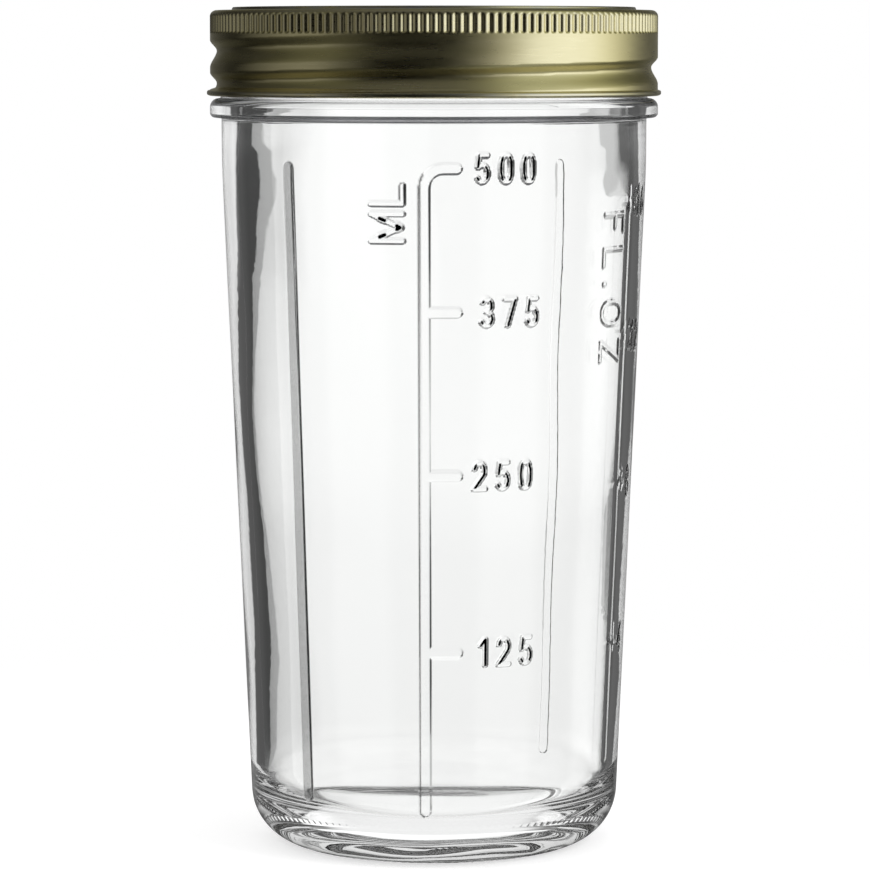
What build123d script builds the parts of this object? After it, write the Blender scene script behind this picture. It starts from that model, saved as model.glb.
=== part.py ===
from build123d import *
import math
import os

# Sourdough starter jar: a tapered glass jar closed by a flat lid disc, its seal and a rolled screw band.
# Millimetres, +Z up. The origin is on the base plane, on the jar's axis, and the measuring scale faces -Y.

# Glass body
rim_height = 162.7
body_base_radius = 35.93
body_top_radius = 41.75
upright_height = 7.9
wall_top = 3.0
wall_base = 2.8
floor_thickness = 5.4
floor_crown = 0.8
inner_heel_radius = 10.5
heel_share = 0.95
shoulder_radius = 150.0

# Foot
foot_inset = 7.43
foot_land = 2.1
foot_rise_angle = 19.0
foot_edge_radius = 0.5
punt_rise = 2.2
punt_step = 1.0
punt_slope_run = 1.4

# Neck and rim
neck_step = 0.2
neck_height = 21.3
rim_wall = 3.75
bore_depth = 13.2
bore_blend_radius = 150.0
rim_outer_round = 1.2
rim_inner_round = 0.9

# Bead below the band
bead_projection = 2.1
bead_top_drop = 15.5
bead_height = 3.9
bead_slope = 0.2
bead_round = 1.1

# Vertical ribs at the two mould seams, in degrees round the axis from +X
rib_angles = (228.5, 48.5)
rib_low = 12.4
rib_top_drop = 6.2
rib_width = 2.6
rib_height = 0.4

# Measuring scales: a bar up the wall with a tick at each mark, whose heights are shares of the neck step's height.
# The front scale marks every 125 ml and the side scale every 4 US fl oz.
scale_line_width = 2.3
scale_relief = 0.5
scale_low = 11.5
front_bar_angle = 267.4
front_tick_length = 6.6
front_mark_shares = (0.2995, 0.54, 0.76, 0.951)
side_bar_angle = 335.0
side_tick_length = 4.6
side_mark_shares = (0.2935, 0.5134, 0.7157, 0.9024)

# Thread that the glass and the band share
thread_pitch = 6.35
thread_flank = 0.75
thread_play = 0.3
full_turn = 360.0

# Thread ridge on the glass
ridge_height = 1.25
ridge_crest_half = 0.6
ridge_start_angle = 188.0
ridge_turns = 1.2
root_sink = 0.3
fade_sink = 0.05

# Screw band, rolled from one strip of sheet
sheet = 0.3
band_play = 0.5
band_drop = 14.4
shoulder_round = 1.2
flange_gap = 0.05
groove_neck_gap = 0.6
groove_crest_half = 0.8
groove_start_angle = 150.0
groove_start_lift = 1.57
groove_turns = 1.44
fade_share = 0.82
curl_radius = 0.55
curl_overhang = 0.65

# Hem round the open top of the band
hem_width = 1.6
hem_rise = 0.6
hem_slope = 0.25
hem_round = 0.4

# Lid disc
disc_play = 0.8
disc_skirt = 0.8
disc_edge_round = 0.45
channel_gap = 0.2
panel_drop = 0.8
panel_slope = 0.6
panel_ring_inset = 7.4
panel_ring_width = 1.6
panel_ring_rise = 0.5
press_round = 0.35

# Seal cast under the disc
seal_width = 2.8
seal_thickness = 0.9
seal_gap = 0.1

overrun = 0.5

# Radii that follow from the sizes above
foot_radius = body_base_radius - foot_inset
neck_radius = body_top_radius + neck_step
bore_radius = neck_radius - rim_wall
bead_radius = neck_radius + bead_projection
ridge_crest_radius = neck_radius + ridge_height
band_inner_radius = ridge_crest_radius + band_play
band_radius = band_inner_radius + sheet
groove_crest_radius = neck_radius + groove_neck_gap
groove_floor_radius = groove_crest_radius + sheet
opening_radius = bore_radius
disc_radius = band_inner_radius - disc_play
channel_inner_radius = bore_radius + channel_gap
seal_inner_radius = (bore_radius + neck_radius - seal_width) / 2

# Heights that follow from the sizes above
neck_step_height = rim_height - neck_height
taper_height = neck_step_height - upright_height
bead_top = rim_height - bead_top_drop
bead_low = bead_top - bead_height
seal_low = rim_height + seal_gap
disc_low = seal_low + seal_thickness
disc_top = disc_low + sheet
flange_low = disc_top + flange_gap
flange_top = flange_low + sheet
curl_height = flange_top - band_drop - shoulder_round - curl_radius
groove_start_height = curl_height + groove_start_lift

# The groove of the band hangs this far below the ridge of the glass
thread_drop = (
    ridge_crest_half
    + groove_crest_half
    + thread_flank * (ridge_crest_radius - groove_crest_radius)
    + thread_play
)


def glass_profile():
    """Section of the glass: up the outside from the punt to the rim, and down the inside to the floor."""
    foot_tangent = math.tan(math.radians(foot_rise_angle))
    taper = (body_top_radius - body_base_radius) / taper_height
    heel_corner_radius = (body_base_radius - taper * foot_tangent * foot_radius) / (1 - taper * foot_tangent)
    heel_corner_height = (heel_corner_radius - foot_radius) * foot_tangent
    foot_rise_length = math.hypot(heel_corner_radius - foot_radius, heel_corner_height)
    heel_turn = math.radians(90 - foot_rise_angle) - math.atan(taper)
    heel_radius = heel_share * foot_rise_length / math.tan(heel_turn / 2)
    foot_inner_radius = foot_radius - foot_land
    punt_radius = foot_inner_radius - punt_slope_run
    bore_low = rim_height - bore_depth
    inner_top_radius = body_top_radius - wall_top
    inner_base_radius = body_base_radius + taper * floor_thickness - wall_base
    corners = [
        ((0, punt_rise), None),
        ((punt_radius, punt_step), foot_edge_radius),
        ((foot_inner_radius, 0), foot_edge_radius),
        ((foot_radius, 0), foot_edge_radius),
        ((heel_corner_radius, heel_corner_height), heel_radius),
        ((body_top_radius, taper_height), shoulder_radius),
        ((body_top_radius, neck_step_height), 0),
        ((neck_radius, neck_step_height), 0),
        ((neck_radius, bead_low), foot_edge_radius),
        ((bead_radius, bead_low + bead_slope), bead_round),
        ((bead_radius, bead_top - bead_slope), bead_round),
        ((neck_radius, bead_top), foot_edge_radius),
        ((neck_radius, rim_height), rim_outer_round),
        ((bore_radius, rim_height), rim_inner_round),
        ((bore_radius, bore_low), bore_blend_radius),
        ((inner_top_radius, taper_height), shoulder_radius),
        ((inner_base_radius, floor_thickness), inner_heel_radius),
        ((0, floor_thickness + floor_crown), None),
    ]
    return outline_face(corners)


def outline_face(corners):
    """Face in the XZ plane from (radius, height) corners with their fillets, closed along the axis if open."""
    points = [point for point, fillet_radius in corners]
    radii = [fillet_radius for point, fillet_radius in corners if fillet_radius is not None]
    is_open = len(radii) < len(points)
    with BuildSketch(Plane.XZ) as section:
        with BuildLine():
            FilletPolyline(*points, radius=radii, close=not is_open)
            if is_open:
                Line(points[-1], points[0])
        make_face()
    return section.sketch


def helical_bar(section_points, start_angle, start_height, turns):
    """Bar whose section, given as (radius, height from the thread line), runs up a right-hand helix."""
    path_radius = section_points[0][0]
    path = Helix(pitch=thread_pitch, height=thread_pitch * turns, radius=path_radius)
    with BuildSketch(Plane.XZ) as section:
        with BuildLine():
            Polyline(*section_points, close=True)
        make_face()
    bar = sweep(section.sketch, path=path, is_frenet=True)
    return Pos(0, 0, start_height) * Rot(0, 0, start_angle) * bar


def thread_section(crest_radius, crest_half, root_radius):
    """Trapezium between a crest and a root on either side of it, with the thread's own flank slope."""
    root_half = crest_half + thread_flank * abs(root_radius - crest_radius)
    return [
        (root_radius, -root_half),
        (crest_radius, -crest_half),
        (crest_radius, crest_half),
        (root_radius, root_half),
    ]


def bar_ends(start_angle, start_height, turns):
    """Angle and height of both ends of a helical bar."""
    return [
        (start_angle, start_height),
        (start_angle + turns * full_turn, start_height + turns * thread_pitch),
    ]


def glass_thread():
    """Raised thread of the glass, which runs out flush with the neck at both ends."""
    start_height = groove_start_height + thread_drop
    start_height += thread_pitch * (ridge_start_angle - groove_start_angle) / full_turn
    root_radius = neck_radius - root_sink
    ridge = helical_bar(
        thread_section(ridge_crest_radius, ridge_crest_half, root_radius),
        ridge_start_angle,
        start_height,
        ridge_turns,
    )
    flat_radius = neck_radius - fade_sink
    block_depth = ridge_crest_radius - flat_radius + overrun
    block_width = 2 * math.sqrt(ridge_crest_radius**2 - flat_radius**2) + overrun
    for angle, height in bar_ends(ridge_start_angle, start_height, ridge_turns):
        block = Box(block_depth, block_width, thread_pitch)
        ridge -= Rot(0, 0, angle) * Pos(flat_radius + block_depth / 2, 0, height) * block
    return ridge


def faded(bar, touch_radius):
    """Helical bar of the band, cut by a leaning cylinder at each end so that it fades out at touch_radius."""
    cutter_radius = touch_radius * fade_share
    for angle, height in bar_ends(groove_start_angle, groove_start_height, groove_turns):
        cutter = Cylinder(cutter_radius, thread_pitch - overrun)
        bar -= Rot(0, 0, angle) * Pos(touch_radius - cutter_radius, 0, height) * cutter
    return bar


def wall_radius(height):
    """Radius of the outer wall at a height between the heel and the neck step."""
    drop = max(taper_height - height, 0)
    return body_top_radius - drop * (body_top_radius - body_base_radius) / taper_height


def wall_relief(relief, angle, width, low, top):
    """Strip that stands out from the outer wall by its relief, upright, at an angle round the axis."""
    heights = [low, taper_height, top] if low < taper_height < top else [low, top]
    inner_line = [((wall_radius(height) - root_sink, height), 0) for height in heights]
    outer_line = [((wall_radius(height) + relief, height), 0) for height in reversed(heights)]
    shell = revolve(outline_face(inner_line + outer_line), axis=Axis.Z)
    reach = body_top_radius + relief + overrun
    window = Pos(reach / 2, 0, (low + top) / 2) * Box(reach, width, top - low + overrun)
    return shell & Rot(0, 0, angle) * window


def measuring_scale(bar_angle, tick_length, mark_shares):
    """Raised bar from the heel to its highest mark, with a tick to its right at each mark."""
    mark_heights = [share * neck_step_height for share in mark_shares]
    line_half = scale_line_width / 2
    bar = wall_relief(scale_relief, bar_angle, scale_line_width, scale_low, max(mark_heights) + line_half)
    ticks = []
    for height in mark_heights:
        tick_turn = math.degrees(tick_length / 2 / wall_radius(height))
        tick_angle = bar_angle + tick_turn
        ticks.append(
            wall_relief(scale_relief, tick_angle, tick_length, height - line_half, height + line_half)
        )
    return bar + ticks


def make_glass_jar():
    """Glass body with its neck thread, its seam ribs and its two measuring scales."""
    jar = revolve(glass_profile(), axis=Axis.Z) + glass_thread()
    rib_top = neck_step_height - rib_top_drop
    for angle in rib_angles:
        jar += wall_relief(rib_height, angle, rib_width, rib_low, rib_top)
    jar += measuring_scale(front_bar_angle, front_tick_length, front_mark_shares)
    jar += measuring_scale(side_bar_angle, side_tick_length, side_mark_shares)
    return jar


def make_screw_band():
    """Rolled sheet band: hemmed opening, shoulder, threaded wall and curled bottom edge."""
    hem_outer_radius = opening_radius + hem_width
    wall = outline_face(
        [
            ((opening_radius, flange_low), 0),
            ((band_inner_radius, flange_low), shoulder_round - sheet),
            ((band_inner_radius, curl_height), 0),
            ((band_radius, curl_height), 0),
            ((band_radius, flange_top), shoulder_round),
            ((hem_outer_radius, flange_top), hem_round),
            ((hem_outer_radius - hem_slope, flange_top + hem_rise), hem_round),
            ((opening_radius, flange_top + hem_rise), hem_round),
        ]
    )
    band = revolve(wall, axis=Axis.Z)
    bead = helical_bar(
        thread_section(groove_crest_radius, groove_crest_half, band_inner_radius + sheet / 2),
        groove_start_angle,
        groove_start_height,
        groove_turns,
    )
    floor_half = groove_crest_half + (thread_flank - math.hypot(1, thread_flank)) * sheet
    groove = helical_bar(
        thread_section(groove_floor_radius, floor_half, band_radius + overrun),
        groove_start_angle,
        groove_start_height,
        groove_turns,
    )
    band += faded(bead, band_inner_radius + fade_sink)
    band -= faded(groove, band_radius + fade_sink)
    curl = Torus(band_radius + curl_overhang - curl_radius, curl_radius)
    return band + Pos(0, 0, curl_height) * curl


def make_lid_disc():
    """Pressed sheet disc: turned down edge, raised channel over the rim, lower panel with a pressed ring."""
    panel_ring_radius = channel_inner_radius - panel_ring_inset
    ring_outer = panel_ring_radius + panel_ring_width / 2
    ring_inner = panel_ring_radius - panel_ring_width / 2
    panel_top = disc_top - panel_drop
    top_line = [
        (disc_radius, disc_top),
        (channel_inner_radius, disc_top),
        (channel_inner_radius - panel_slope, panel_top),
        (ring_outer + panel_ring_rise, panel_top),
        (ring_outer, panel_top + panel_ring_rise),
        (ring_inner, panel_top + panel_ring_rise),
        (ring_inner - panel_ring_rise, panel_top),
    ]
    low_line = [(radius, height - sheet) for radius, height in reversed(top_line[1:])]
    skirt_low = disc_top - disc_skirt
    corners = [((0, panel_top), None)]
    corners += [(point, press_round) for point in reversed(top_line[1:])]
    corners += [
        ((disc_radius, disc_top), disc_edge_round),
        ((disc_radius, skirt_low), 0),
        ((disc_radius - sheet, skirt_low), 0),
        ((disc_radius - sheet, disc_low), disc_edge_round - sheet),
    ]
    corners += [(point, 0) for point in reversed(low_line)]
    corners += [((0, panel_top - sheet), None)]
    return revolve(outline_face(corners), axis=Axis.Z)


def make_seal_ring():
    """Ring of sealing compound between the disc and the glass rim."""
    seal_outer_radius = seal_inner_radius + seal_width
    return revolve(
        outline_face(
            [
                ((seal_inner_radius, disc_low), 0),
                ((seal_inner_radius, seal_low), 0),
                ((seal_outer_radius, seal_low), 0),
                ((seal_outer_radius, disc_low), 0),
            ]
        ),
        axis=Axis.Z,
    )


def main():
    os.makedirs("parts", exist_ok=True)
    pieces = {
        "glass_jar": make_glass_jar(),
        "screw_band": make_screw_band(),
        "lid_disc": make_lid_disc(),
        "seal_ring": make_seal_ring(),
    }
    for name, piece in pieces.items():
        piece.label = name
        export_step(piece, f"parts/{name}.step")


main()
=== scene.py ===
import math
from typing import NamedTuple

import bpy
import numpy as np
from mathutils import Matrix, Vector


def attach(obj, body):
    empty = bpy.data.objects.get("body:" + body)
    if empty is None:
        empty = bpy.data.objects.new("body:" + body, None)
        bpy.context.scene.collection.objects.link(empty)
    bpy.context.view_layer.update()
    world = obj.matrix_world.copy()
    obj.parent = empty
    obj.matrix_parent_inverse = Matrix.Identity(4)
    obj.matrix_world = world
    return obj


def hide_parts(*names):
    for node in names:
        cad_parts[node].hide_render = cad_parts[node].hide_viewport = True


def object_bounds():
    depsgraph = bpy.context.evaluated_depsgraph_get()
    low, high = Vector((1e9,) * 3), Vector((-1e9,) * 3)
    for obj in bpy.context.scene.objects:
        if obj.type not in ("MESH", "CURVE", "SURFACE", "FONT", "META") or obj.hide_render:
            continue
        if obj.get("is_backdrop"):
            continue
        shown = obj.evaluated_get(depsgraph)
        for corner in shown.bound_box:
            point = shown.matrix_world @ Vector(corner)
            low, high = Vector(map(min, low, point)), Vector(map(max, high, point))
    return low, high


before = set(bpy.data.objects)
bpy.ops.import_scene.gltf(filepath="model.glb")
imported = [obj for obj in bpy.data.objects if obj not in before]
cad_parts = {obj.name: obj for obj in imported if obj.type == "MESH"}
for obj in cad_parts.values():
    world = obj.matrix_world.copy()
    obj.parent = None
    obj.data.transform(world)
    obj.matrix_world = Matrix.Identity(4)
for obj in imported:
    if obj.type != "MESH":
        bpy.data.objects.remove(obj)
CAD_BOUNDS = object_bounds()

bl_info = {
    "name": "Sourdough Starter Jar",
    "version": (1, 0, 0),
    "blender": (4, 5, 0),
    "location": "3D Viewport > Sidebar > Starter Jar",
    "description": "Builds the glass, lid disc, seal and band of a sourdough starter jar on its frame",
    "category": "Add Mesh",
}

# Shapes are worked out in metres. MM turns the millimetre values below into metres.
MM = 0.001
TURN = 2 * math.pi

# Heights above the base plane in millimetres, from the glass up through the seal and the disc to the band
TAPER_HEIGHT = 133.5
RIM_HEIGHT = 162.7
SHEET = 0.3
SEAL_GAP = 0.1
SEAL_THICKNESS = 0.9
FLANGE_GAP = 0.05
HEM_RISE = 0.6
SEAL_LOW = RIM_HEIGHT + SEAL_GAP
DISC_LOW = SEAL_LOW + SEAL_THICKNESS
DISC_TOP = DISC_LOW + SHEET
FLANGE_LOW = DISC_TOP + FLANGE_GAP
FLANGE_TOP = FLANGE_LOW + SHEET
HEM_TOP = FLANGE_TOP + HEM_RISE
CURL_HEIGHT = 148.2

# Radii in millimetres that more than one piece follows
BORE_RADIUS = 38.2
NECK_RADIUS = 41.95
BODY_RADIUS = 41.75
BAND_RADIUS = 44.0
DISC_RADIUS = 42.9

# Thread of the glass and groove of the band: (start angle in degrees, start height in mm, turns)
THREAD_PITCH = 6.35
GLASS_THREAD = (188.0, 152.63, 1.2)
BAND_GROOVE = (150.0, 149.5, 1.44)

# Zones of height in mm: raised marks stand on the wall, the thread on the neck, a band of painted shade round
# the top of the bead, the flutes on the shoulder
WALL_ZONE = (8.0, 140.0)
NECK_ZONE = (148.2, 162.0)
BEAD_SHADE_ZONE = (146.4, 147.0)
FLUTE_ZONE = (159.6, 163.8)

# Top of the foot in mm, and the radii in mm between which it is notched
FOOT_TOP = 3.0
NOTCH_ZONE = (26.7, 29.1)

# Raised marks, placed by azimuths in degrees from the front, positive to the right, and by heights in mm.
# Points further than the reach in mm from a mark's box aren't tested against it.
FRONT_ANGLE = 270.0
MARK_REACH = 4.0
FRONT_BAR_AZIMUTH = -2.5
SIDE_BAR_AZIMUTH = 65.0
RIB_AZIMUTHS = (-41.5, 138.5)
# Painted shade in the middle of each seam rib: dark put into the glass's colour for the dark the rib bends
# into view
RIB_PAINTED_SHADE = (0.545, 0.0)
RIB_ENDS = (13.2, 134.4)
UNIT_PLACE = (-12.4, 120.9)
SIDE_UNIT_PLACE = (57.3, 125.2)

# Bar of each scale in mm: low end, bend at its top, length of the top tick and length of the other ticks
FRONT_BAR = (11.6, 3.6, 6.1, 6.1)
SIDE_BAR = (18.6, 2.6, 3.6, 3.4)

# Numbers of each scale from the top down: text, height in mm and azimuth of its left edge
FRONT_MARKS = (("500", 134.5, 11.2), ("375", 107.4, 12.8), ("250", 76.3, 11.1), ("125", 42.4, 13.5))
SIDE_MARKS = (("16", 127.6, 72.0), ("12", 101.2, 72.0), ("8", 72.6, 74.0), ("4", 41.5, 73.0))

# Painted shade: black spots where the strokes of the M meet, as (across, up) in mm from the start of the unit
UNIT_SHADE_SPOTS = (((-1.3, 0.8), (-0.3, 1.2)), ((-1.3, 4.3), (-0.3, 3.9)), ((2.0, 2.25), (2.6, 2.56), (2.0, 2.9)))

# Camera and light
CAMERA_PLACE = (0.0002, -0.823, 0.1583)
CAMERA_TILT = 84.6
LIGHT_BOUNCES = 48
FLOOR_DROP = 0.02
FLOOR_CORNERS = 96
SOFTBOXES = (("key_softbox", (0.75, -0.45, 0.75), 0.6, 5.0), ("fill_softbox", (-0.75, -0.25, 0.7), 0.7, 2.0))
SOFTBOX_AIM_HEIGHT = 0.08


# Sizes and colours that a user would change


def length(description, default, **options):
    """Length property in metres, whose name is the part of its description before the colon."""
    return bpy.props.FloatProperty(
        name=description.split(":")[0],
        description=description,
        default=default,
        unit="LENGTH",
        precision=5,
        min=0.0,
        **options,
    )


def colour(description, default):
    """Linear colour property."""
    return bpy.props.FloatVectorProperty(
        name=description.split(":")[0],
        description=description,
        default=default,
        subtype="COLOR",
        size=3,
        min=0.0,
        max=1.0,
    )


def amount(description, default, top=1.0):
    """Plain number property from nought up to its top value."""
    return bpy.props.FloatProperty(
        name=description.split(":")[0],
        description=description,
        default=default,
        min=0.0,
        max=top,
    )


class JarGlassSettings(bpy.types.PropertyGroup):
    digit_height: length("Digit height: centre line height of the raised numbers", 0.0050)
    digit_width: length("Digit stroke: half width of the strokes of numbers and letters", 0.00074)
    digit_relief: length("Digit relief: how far numbers and letters stand out", 0.00040)
    scale_width: length("Scale line: half width of the scale's bar and ticks", 0.00134)
    scale_relief: length("Scale relief: how far the bar and ticks stand out", 0.00029)
    rib_width: length("Rib: half width of the two upright seam ribs", 0.0013)
    rib_relief: length("Rib relief: how far the seam ribs stand out", 0.0003)
    thread_relief: length("Thread relief: height of the glass thread", 0.00125)
    foot_notch: length("Foot notch: depth of the notches round the foot", 0.00007)
    foot_notches: bpy.props.IntProperty(
        name="Foot notches", description="Number of notches round the foot", default=104, min=8
    )
    floor_wave: length("Floor wave: unevenness of the floor inside", 0.00012)
    inner_wave: length("Inner wave: unevenness of the inside wall", 0.000025)
    outer_wave: length("Outer wave: unevenness of the outside wall", 0.00003)
    refraction: amount("Refraction: index of refraction of the glass", 1.52, 2.5)
    tint: colour("Glass tint: colour that the glass lets through", (0.988, 0.992, 0.988))
    ripple: amount("Ripple: strength of the fine ripple of the surface", 0.05)


class JarBandSettings(bpy.types.PropertyGroup):
    flutes: bpy.props.IntProperty(
        name="Flutes", description="Number of flutes of the grip round the shoulder", default=170, min=12
    )
    flute_depth: length("Flute depth: depth of one grip flute", 0.00030)
    groove_depth: length("Groove depth: depth of the rolled thread groove", 0.00132)
    groove_rise: length("Groove rise: height of the rolled groove above its thread line", 0.0020)
    groove_reach: length("Groove reach: height of the rolled groove below its thread line", 0.0031)
    lacquer: colour("Lacquer: colour of the gold lacquered tinplate", (0.75, 0.68, 0.39))
    bare_tin: colour("Bare tin: colour where the lacquer is rubbed thin and inside", (0.62, 0.62, 0.60))
    roughness: amount("Roughness: dullness of the satin lacquer", 0.3)


class JarDiscSettings(bpy.types.PropertyGroup):
    lacquer: colour("Disc lacquer: colour of the pressed lid disc", (0.70, 0.66, 0.46))
    bare_tin: colour("Disc bare tin: colour where the disc's lacquer is rubbed thin", (0.62, 0.62, 0.60))
    roughness: amount("Disc roughness: dullness of the disc", 0.27)
    dish: length("Disc dish: how far the panel sags between its pressed rings", 0.00006)


class JarSealSettings(bpy.types.PropertyGroup):
    compound: colour("Compound: colour of the sealing compound", (0.62, 0.60, 0.55))
    mottle: amount("Mottle: tone of the darker patches against the rest", 0.82)


class JarStageSettings(bpy.types.PropertyGroup):
    floor: colour("Floor: colour of the pale floor", (0.86, 0.86, 0.86))
    floor_glow: amount("Floor glow: light of its own that keeps the floor white to the camera", 0.58)
    floor_reach: length("Floor reach: distance at which the floor has faded into the backdrop", 0.26)
    backdrop_light: amount("Backdrop light: brightness of the backdrop seen through the jar", 1.06, 2.0)
    flag_tone: amount("Flag tone: brightness of the dark flags behind the jar", 0.065)
    low_flag_tone: amount("Low flag tone: brightness of the flags for rays that look down", 0.22)
    side_flag_tone: amount("Side flag tone: brightness of the flags for the other views", 0.33)
    softbox: amount("Softbox: brightness of the large softbox in the lid", 1.3, 5.0)
    lens: bpy.props.FloatProperty(
        name="Lens", description="Focal length of the camera in millimetres", default=172.4, min=10.0
    )


# Surfaces


# Points on the arc of an outline's corner, and the turning that one grid row takes in
ARC_POINTS = 25
ROW_TURN = math.radians(11)


def rounded_outline(corners, closed):
    """Outline through (radius, height, fillet, step) corners in mm, with a tangent arc at each corner.

    The arc at a corner touches both runs at fillet * tan(turn / 2) from it. Returns the outline's points in
    metres, their arc lengths, and the arc lengths of its grid rows: rows are equally spaced in the sum of
    length / step and turning / ROW_TURN.
    """
    table = np.array(corners, float)
    points = table[:, :2] * MM
    before = points - np.roll(points, 1, axis=0)
    after = np.roll(points, -1, axis=0) - points
    before /= np.linalg.norm(before, axis=1, keepdims=True)
    after /= np.linalg.norm(after, axis=1, keepdims=True)
    cross = before[:, 0] * after[:, 1] - before[:, 1] * after[:, 0]
    turn = np.arctan2(cross, (before * after).sum(axis=1))
    radius = table[:, 2] * MM
    if not closed:
        turn[[0, -1]] = 0.0
    side = np.sign(turn)[:, None]
    start = points - before * (radius * np.tan(np.abs(turn) / 2))[:, None]
    normal = np.stack([-before[:, 1], before[:, 0]], axis=1)
    centre = start + side * normal * radius[:, None]
    arm = start - centre
    swing = turn[:, None] * np.linspace(0.0, 1.0, ARC_POINTS)[None, :]
    cos, sin = np.cos(swing), np.sin(swing)
    x = centre[:, 0:1] + arm[:, 0:1] * cos - arm[:, 1:2] * sin
    z = centre[:, 1:2] + arm[:, 0:1] * sin + arm[:, 1:2] * cos
    flat = (np.abs(turn) < 1e-9) | (radius < 1e-9)
    x[flat], z[flat] = points[flat, 0:1], points[flat, 1:2]
    path = np.stack([x.ravel(), z.ravel()], axis=1)
    step = np.repeat(table[:, 3] * MM, x.shape[1])
    bend = np.repeat(np.abs(turn) / (x.shape[1] - 1), x.shape[1])
    bend.reshape(x.shape)[:, -1] = 0.0
    if closed:
        path = np.vstack([path, path[:1]])
        step, bend = np.append(step, step[0]), np.append(bend, 0.0)
    run = np.linalg.norm(np.diff(path, axis=0), axis=1)
    measure = run / step[:-1] + bend[:-1] / ROW_TURN
    keep = np.append(run > 1e-9, True)
    measure = np.append(np.where(keep[:-1], measure, 0.0), 0.0)
    path, step = path[keep], step[keep]
    share = np.concatenate([[0.0], np.cumsum(measure[keep][:-1])])
    arc = np.concatenate([[0.0], np.cumsum(np.linalg.norm(np.diff(path, axis=0), axis=1))])
    rows = np.interp(np.linspace(0, share[-1], int(math.ceil(share[-1])) + 1), share, arc)
    return path, arc, rows


def outline_at(outline, arc):
    """Radius, height and outward normal (radial, upward) of the outline at arc lengths."""
    path, lengths, _ = outline
    reach = 0.02 * MM
    radius, height = (np.interp(arc, lengths, path[:, k]) for k in (0, 1))
    ahead, behind = np.minimum(arc + reach, lengths[-1]), np.maximum(arc - reach, 0.0)
    run = [np.interp(ahead, lengths, path[:, k]) - np.interp(behind, lengths, path[:, k]) for k in (0, 1)]
    size = np.hypot(run[0], run[1])
    return radius, height, run[1] / size, -run[0] / size


def graded_grid(columns, rows, wanted, depth, closed):
    """Cells of a grid round the axis that are halved where detail is wanted.

    Every cell is split into four up to depth times while wanted(level, column, row) holds for it. Neighbours
    differ by one level at most: a cell is split too when a neighbour is split twice. A cell with a finer
    neighbour becomes a fan round its centre, so that no edge is left open. Returns the fine lattice places
    (column, row) of the vertices and the triangles.
    """
    quarters = np.ones((2, 2), bool)
    splits = []
    for level in range(depth):
        size = (columns << level, rows << level)
        split = np.zeros(size, bool)
        open_cells = np.ones(size, bool)
        if level > 0:
            open_cells = np.kron(splits[-1], quarters)
        where = np.nonzero(open_cells)
        split[where] = wanted(level, where[0], where[1])
        splits.append(split)
    for level in range(depth - 1, 0, -1):
        split = splits[level]
        wide = split | np.roll(split, 1, 0) | np.roll(split, -1, 0)
        tall = wide.copy()
        tall[:, 1:] |= wide[:, :-1]
        tall[:, :-1] |= wide[:, 1:]
        if closed:
            tall[:, 0] |= wide[:, -1]
            tall[:, -1] |= wide[:, 0]
        parent = tall.reshape(tall.shape[0] // 2, 2, tall.shape[1] // 2, 2).any(axis=(1, 3))
        splits[level - 1] |= parent
    fine_columns, fine_rows = columns << depth, rows << depth
    leaves = []
    for level in range(depth + 1):
        there = np.ones((columns, rows), bool)
        if level > 0:
            there = np.kron(splits[level - 1], quarters)
        if level < depth:
            there &= ~splits[level]
        i, j = np.nonzero(there)
        size = 1 << (depth - level)
        leaves.append(np.stack([i * size, j * size, np.full_like(i, size)], axis=1))
    cells = np.concatenate(leaves)
    row_count = fine_rows if closed else fine_rows + 1
    used = np.zeros((fine_columns, row_count), bool)
    i, j, size = cells.T
    for di, dj in ((0, 0), (1, 0), (1, 1), (0, 1)):
        used[(i + di * size) % fine_columns, (j + dj * size) % row_count if closed else j + dj * size] = True
    half = size // 2
    middle = []
    for di, dj in ((1, 0), (2, 1), (1, 2), (0, 1)):
        mi, mj = (i + di * half) % fine_columns, j + dj * half
        mj = mj % row_count if closed else mj
        middle.append(used[mi, mj] & (half > 0))
    middle = np.stack(middle, axis=1)
    fanned = middle.any(axis=1)
    used[((i + half) % fine_columns)[fanned], (j + half)[fanned]] = True
    number = (np.cumsum(used.ravel()) - 1).reshape(used.shape)

    def vertex(column, row):
        return number[column % fine_columns, row % row_count if closed else row]

    plain = ~fanned
    a, b = vertex(i, j)[plain], vertex(i + size, j)[plain]
    c, d = vertex(i + size, j + size)[plain], vertex(i, j + size)[plain]
    triangles = [np.stack([a, b, c], axis=1), np.stack([a, c, d], axis=1)]
    ring = ((0, 0), (2, 0), (2, 2), (0, 2))
    centre = vertex(i + half, j + half)
    for side in range(4):
        p, q = ring[side], ring[(side + 1) % 4]
        first = vertex(i + p[0] * half, j + p[1] * half)
        last = vertex(i + q[0] * half, j + q[1] * half)
        mid = vertex(i + (p[0] + q[0]) // 2 * half, j + (p[1] + q[1]) // 2 * half)
        whole, parted = fanned & ~middle[:, side], fanned & middle[:, side]
        triangles.append(np.stack([first, last, centre], axis=1)[whole])
        triangles.append(np.stack([first, mid, centre], axis=1)[parted])
        triangles.append(np.stack([mid, last, centre], axis=1)[parted])
    return np.nonzero(used), np.concatenate(triangles)


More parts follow.
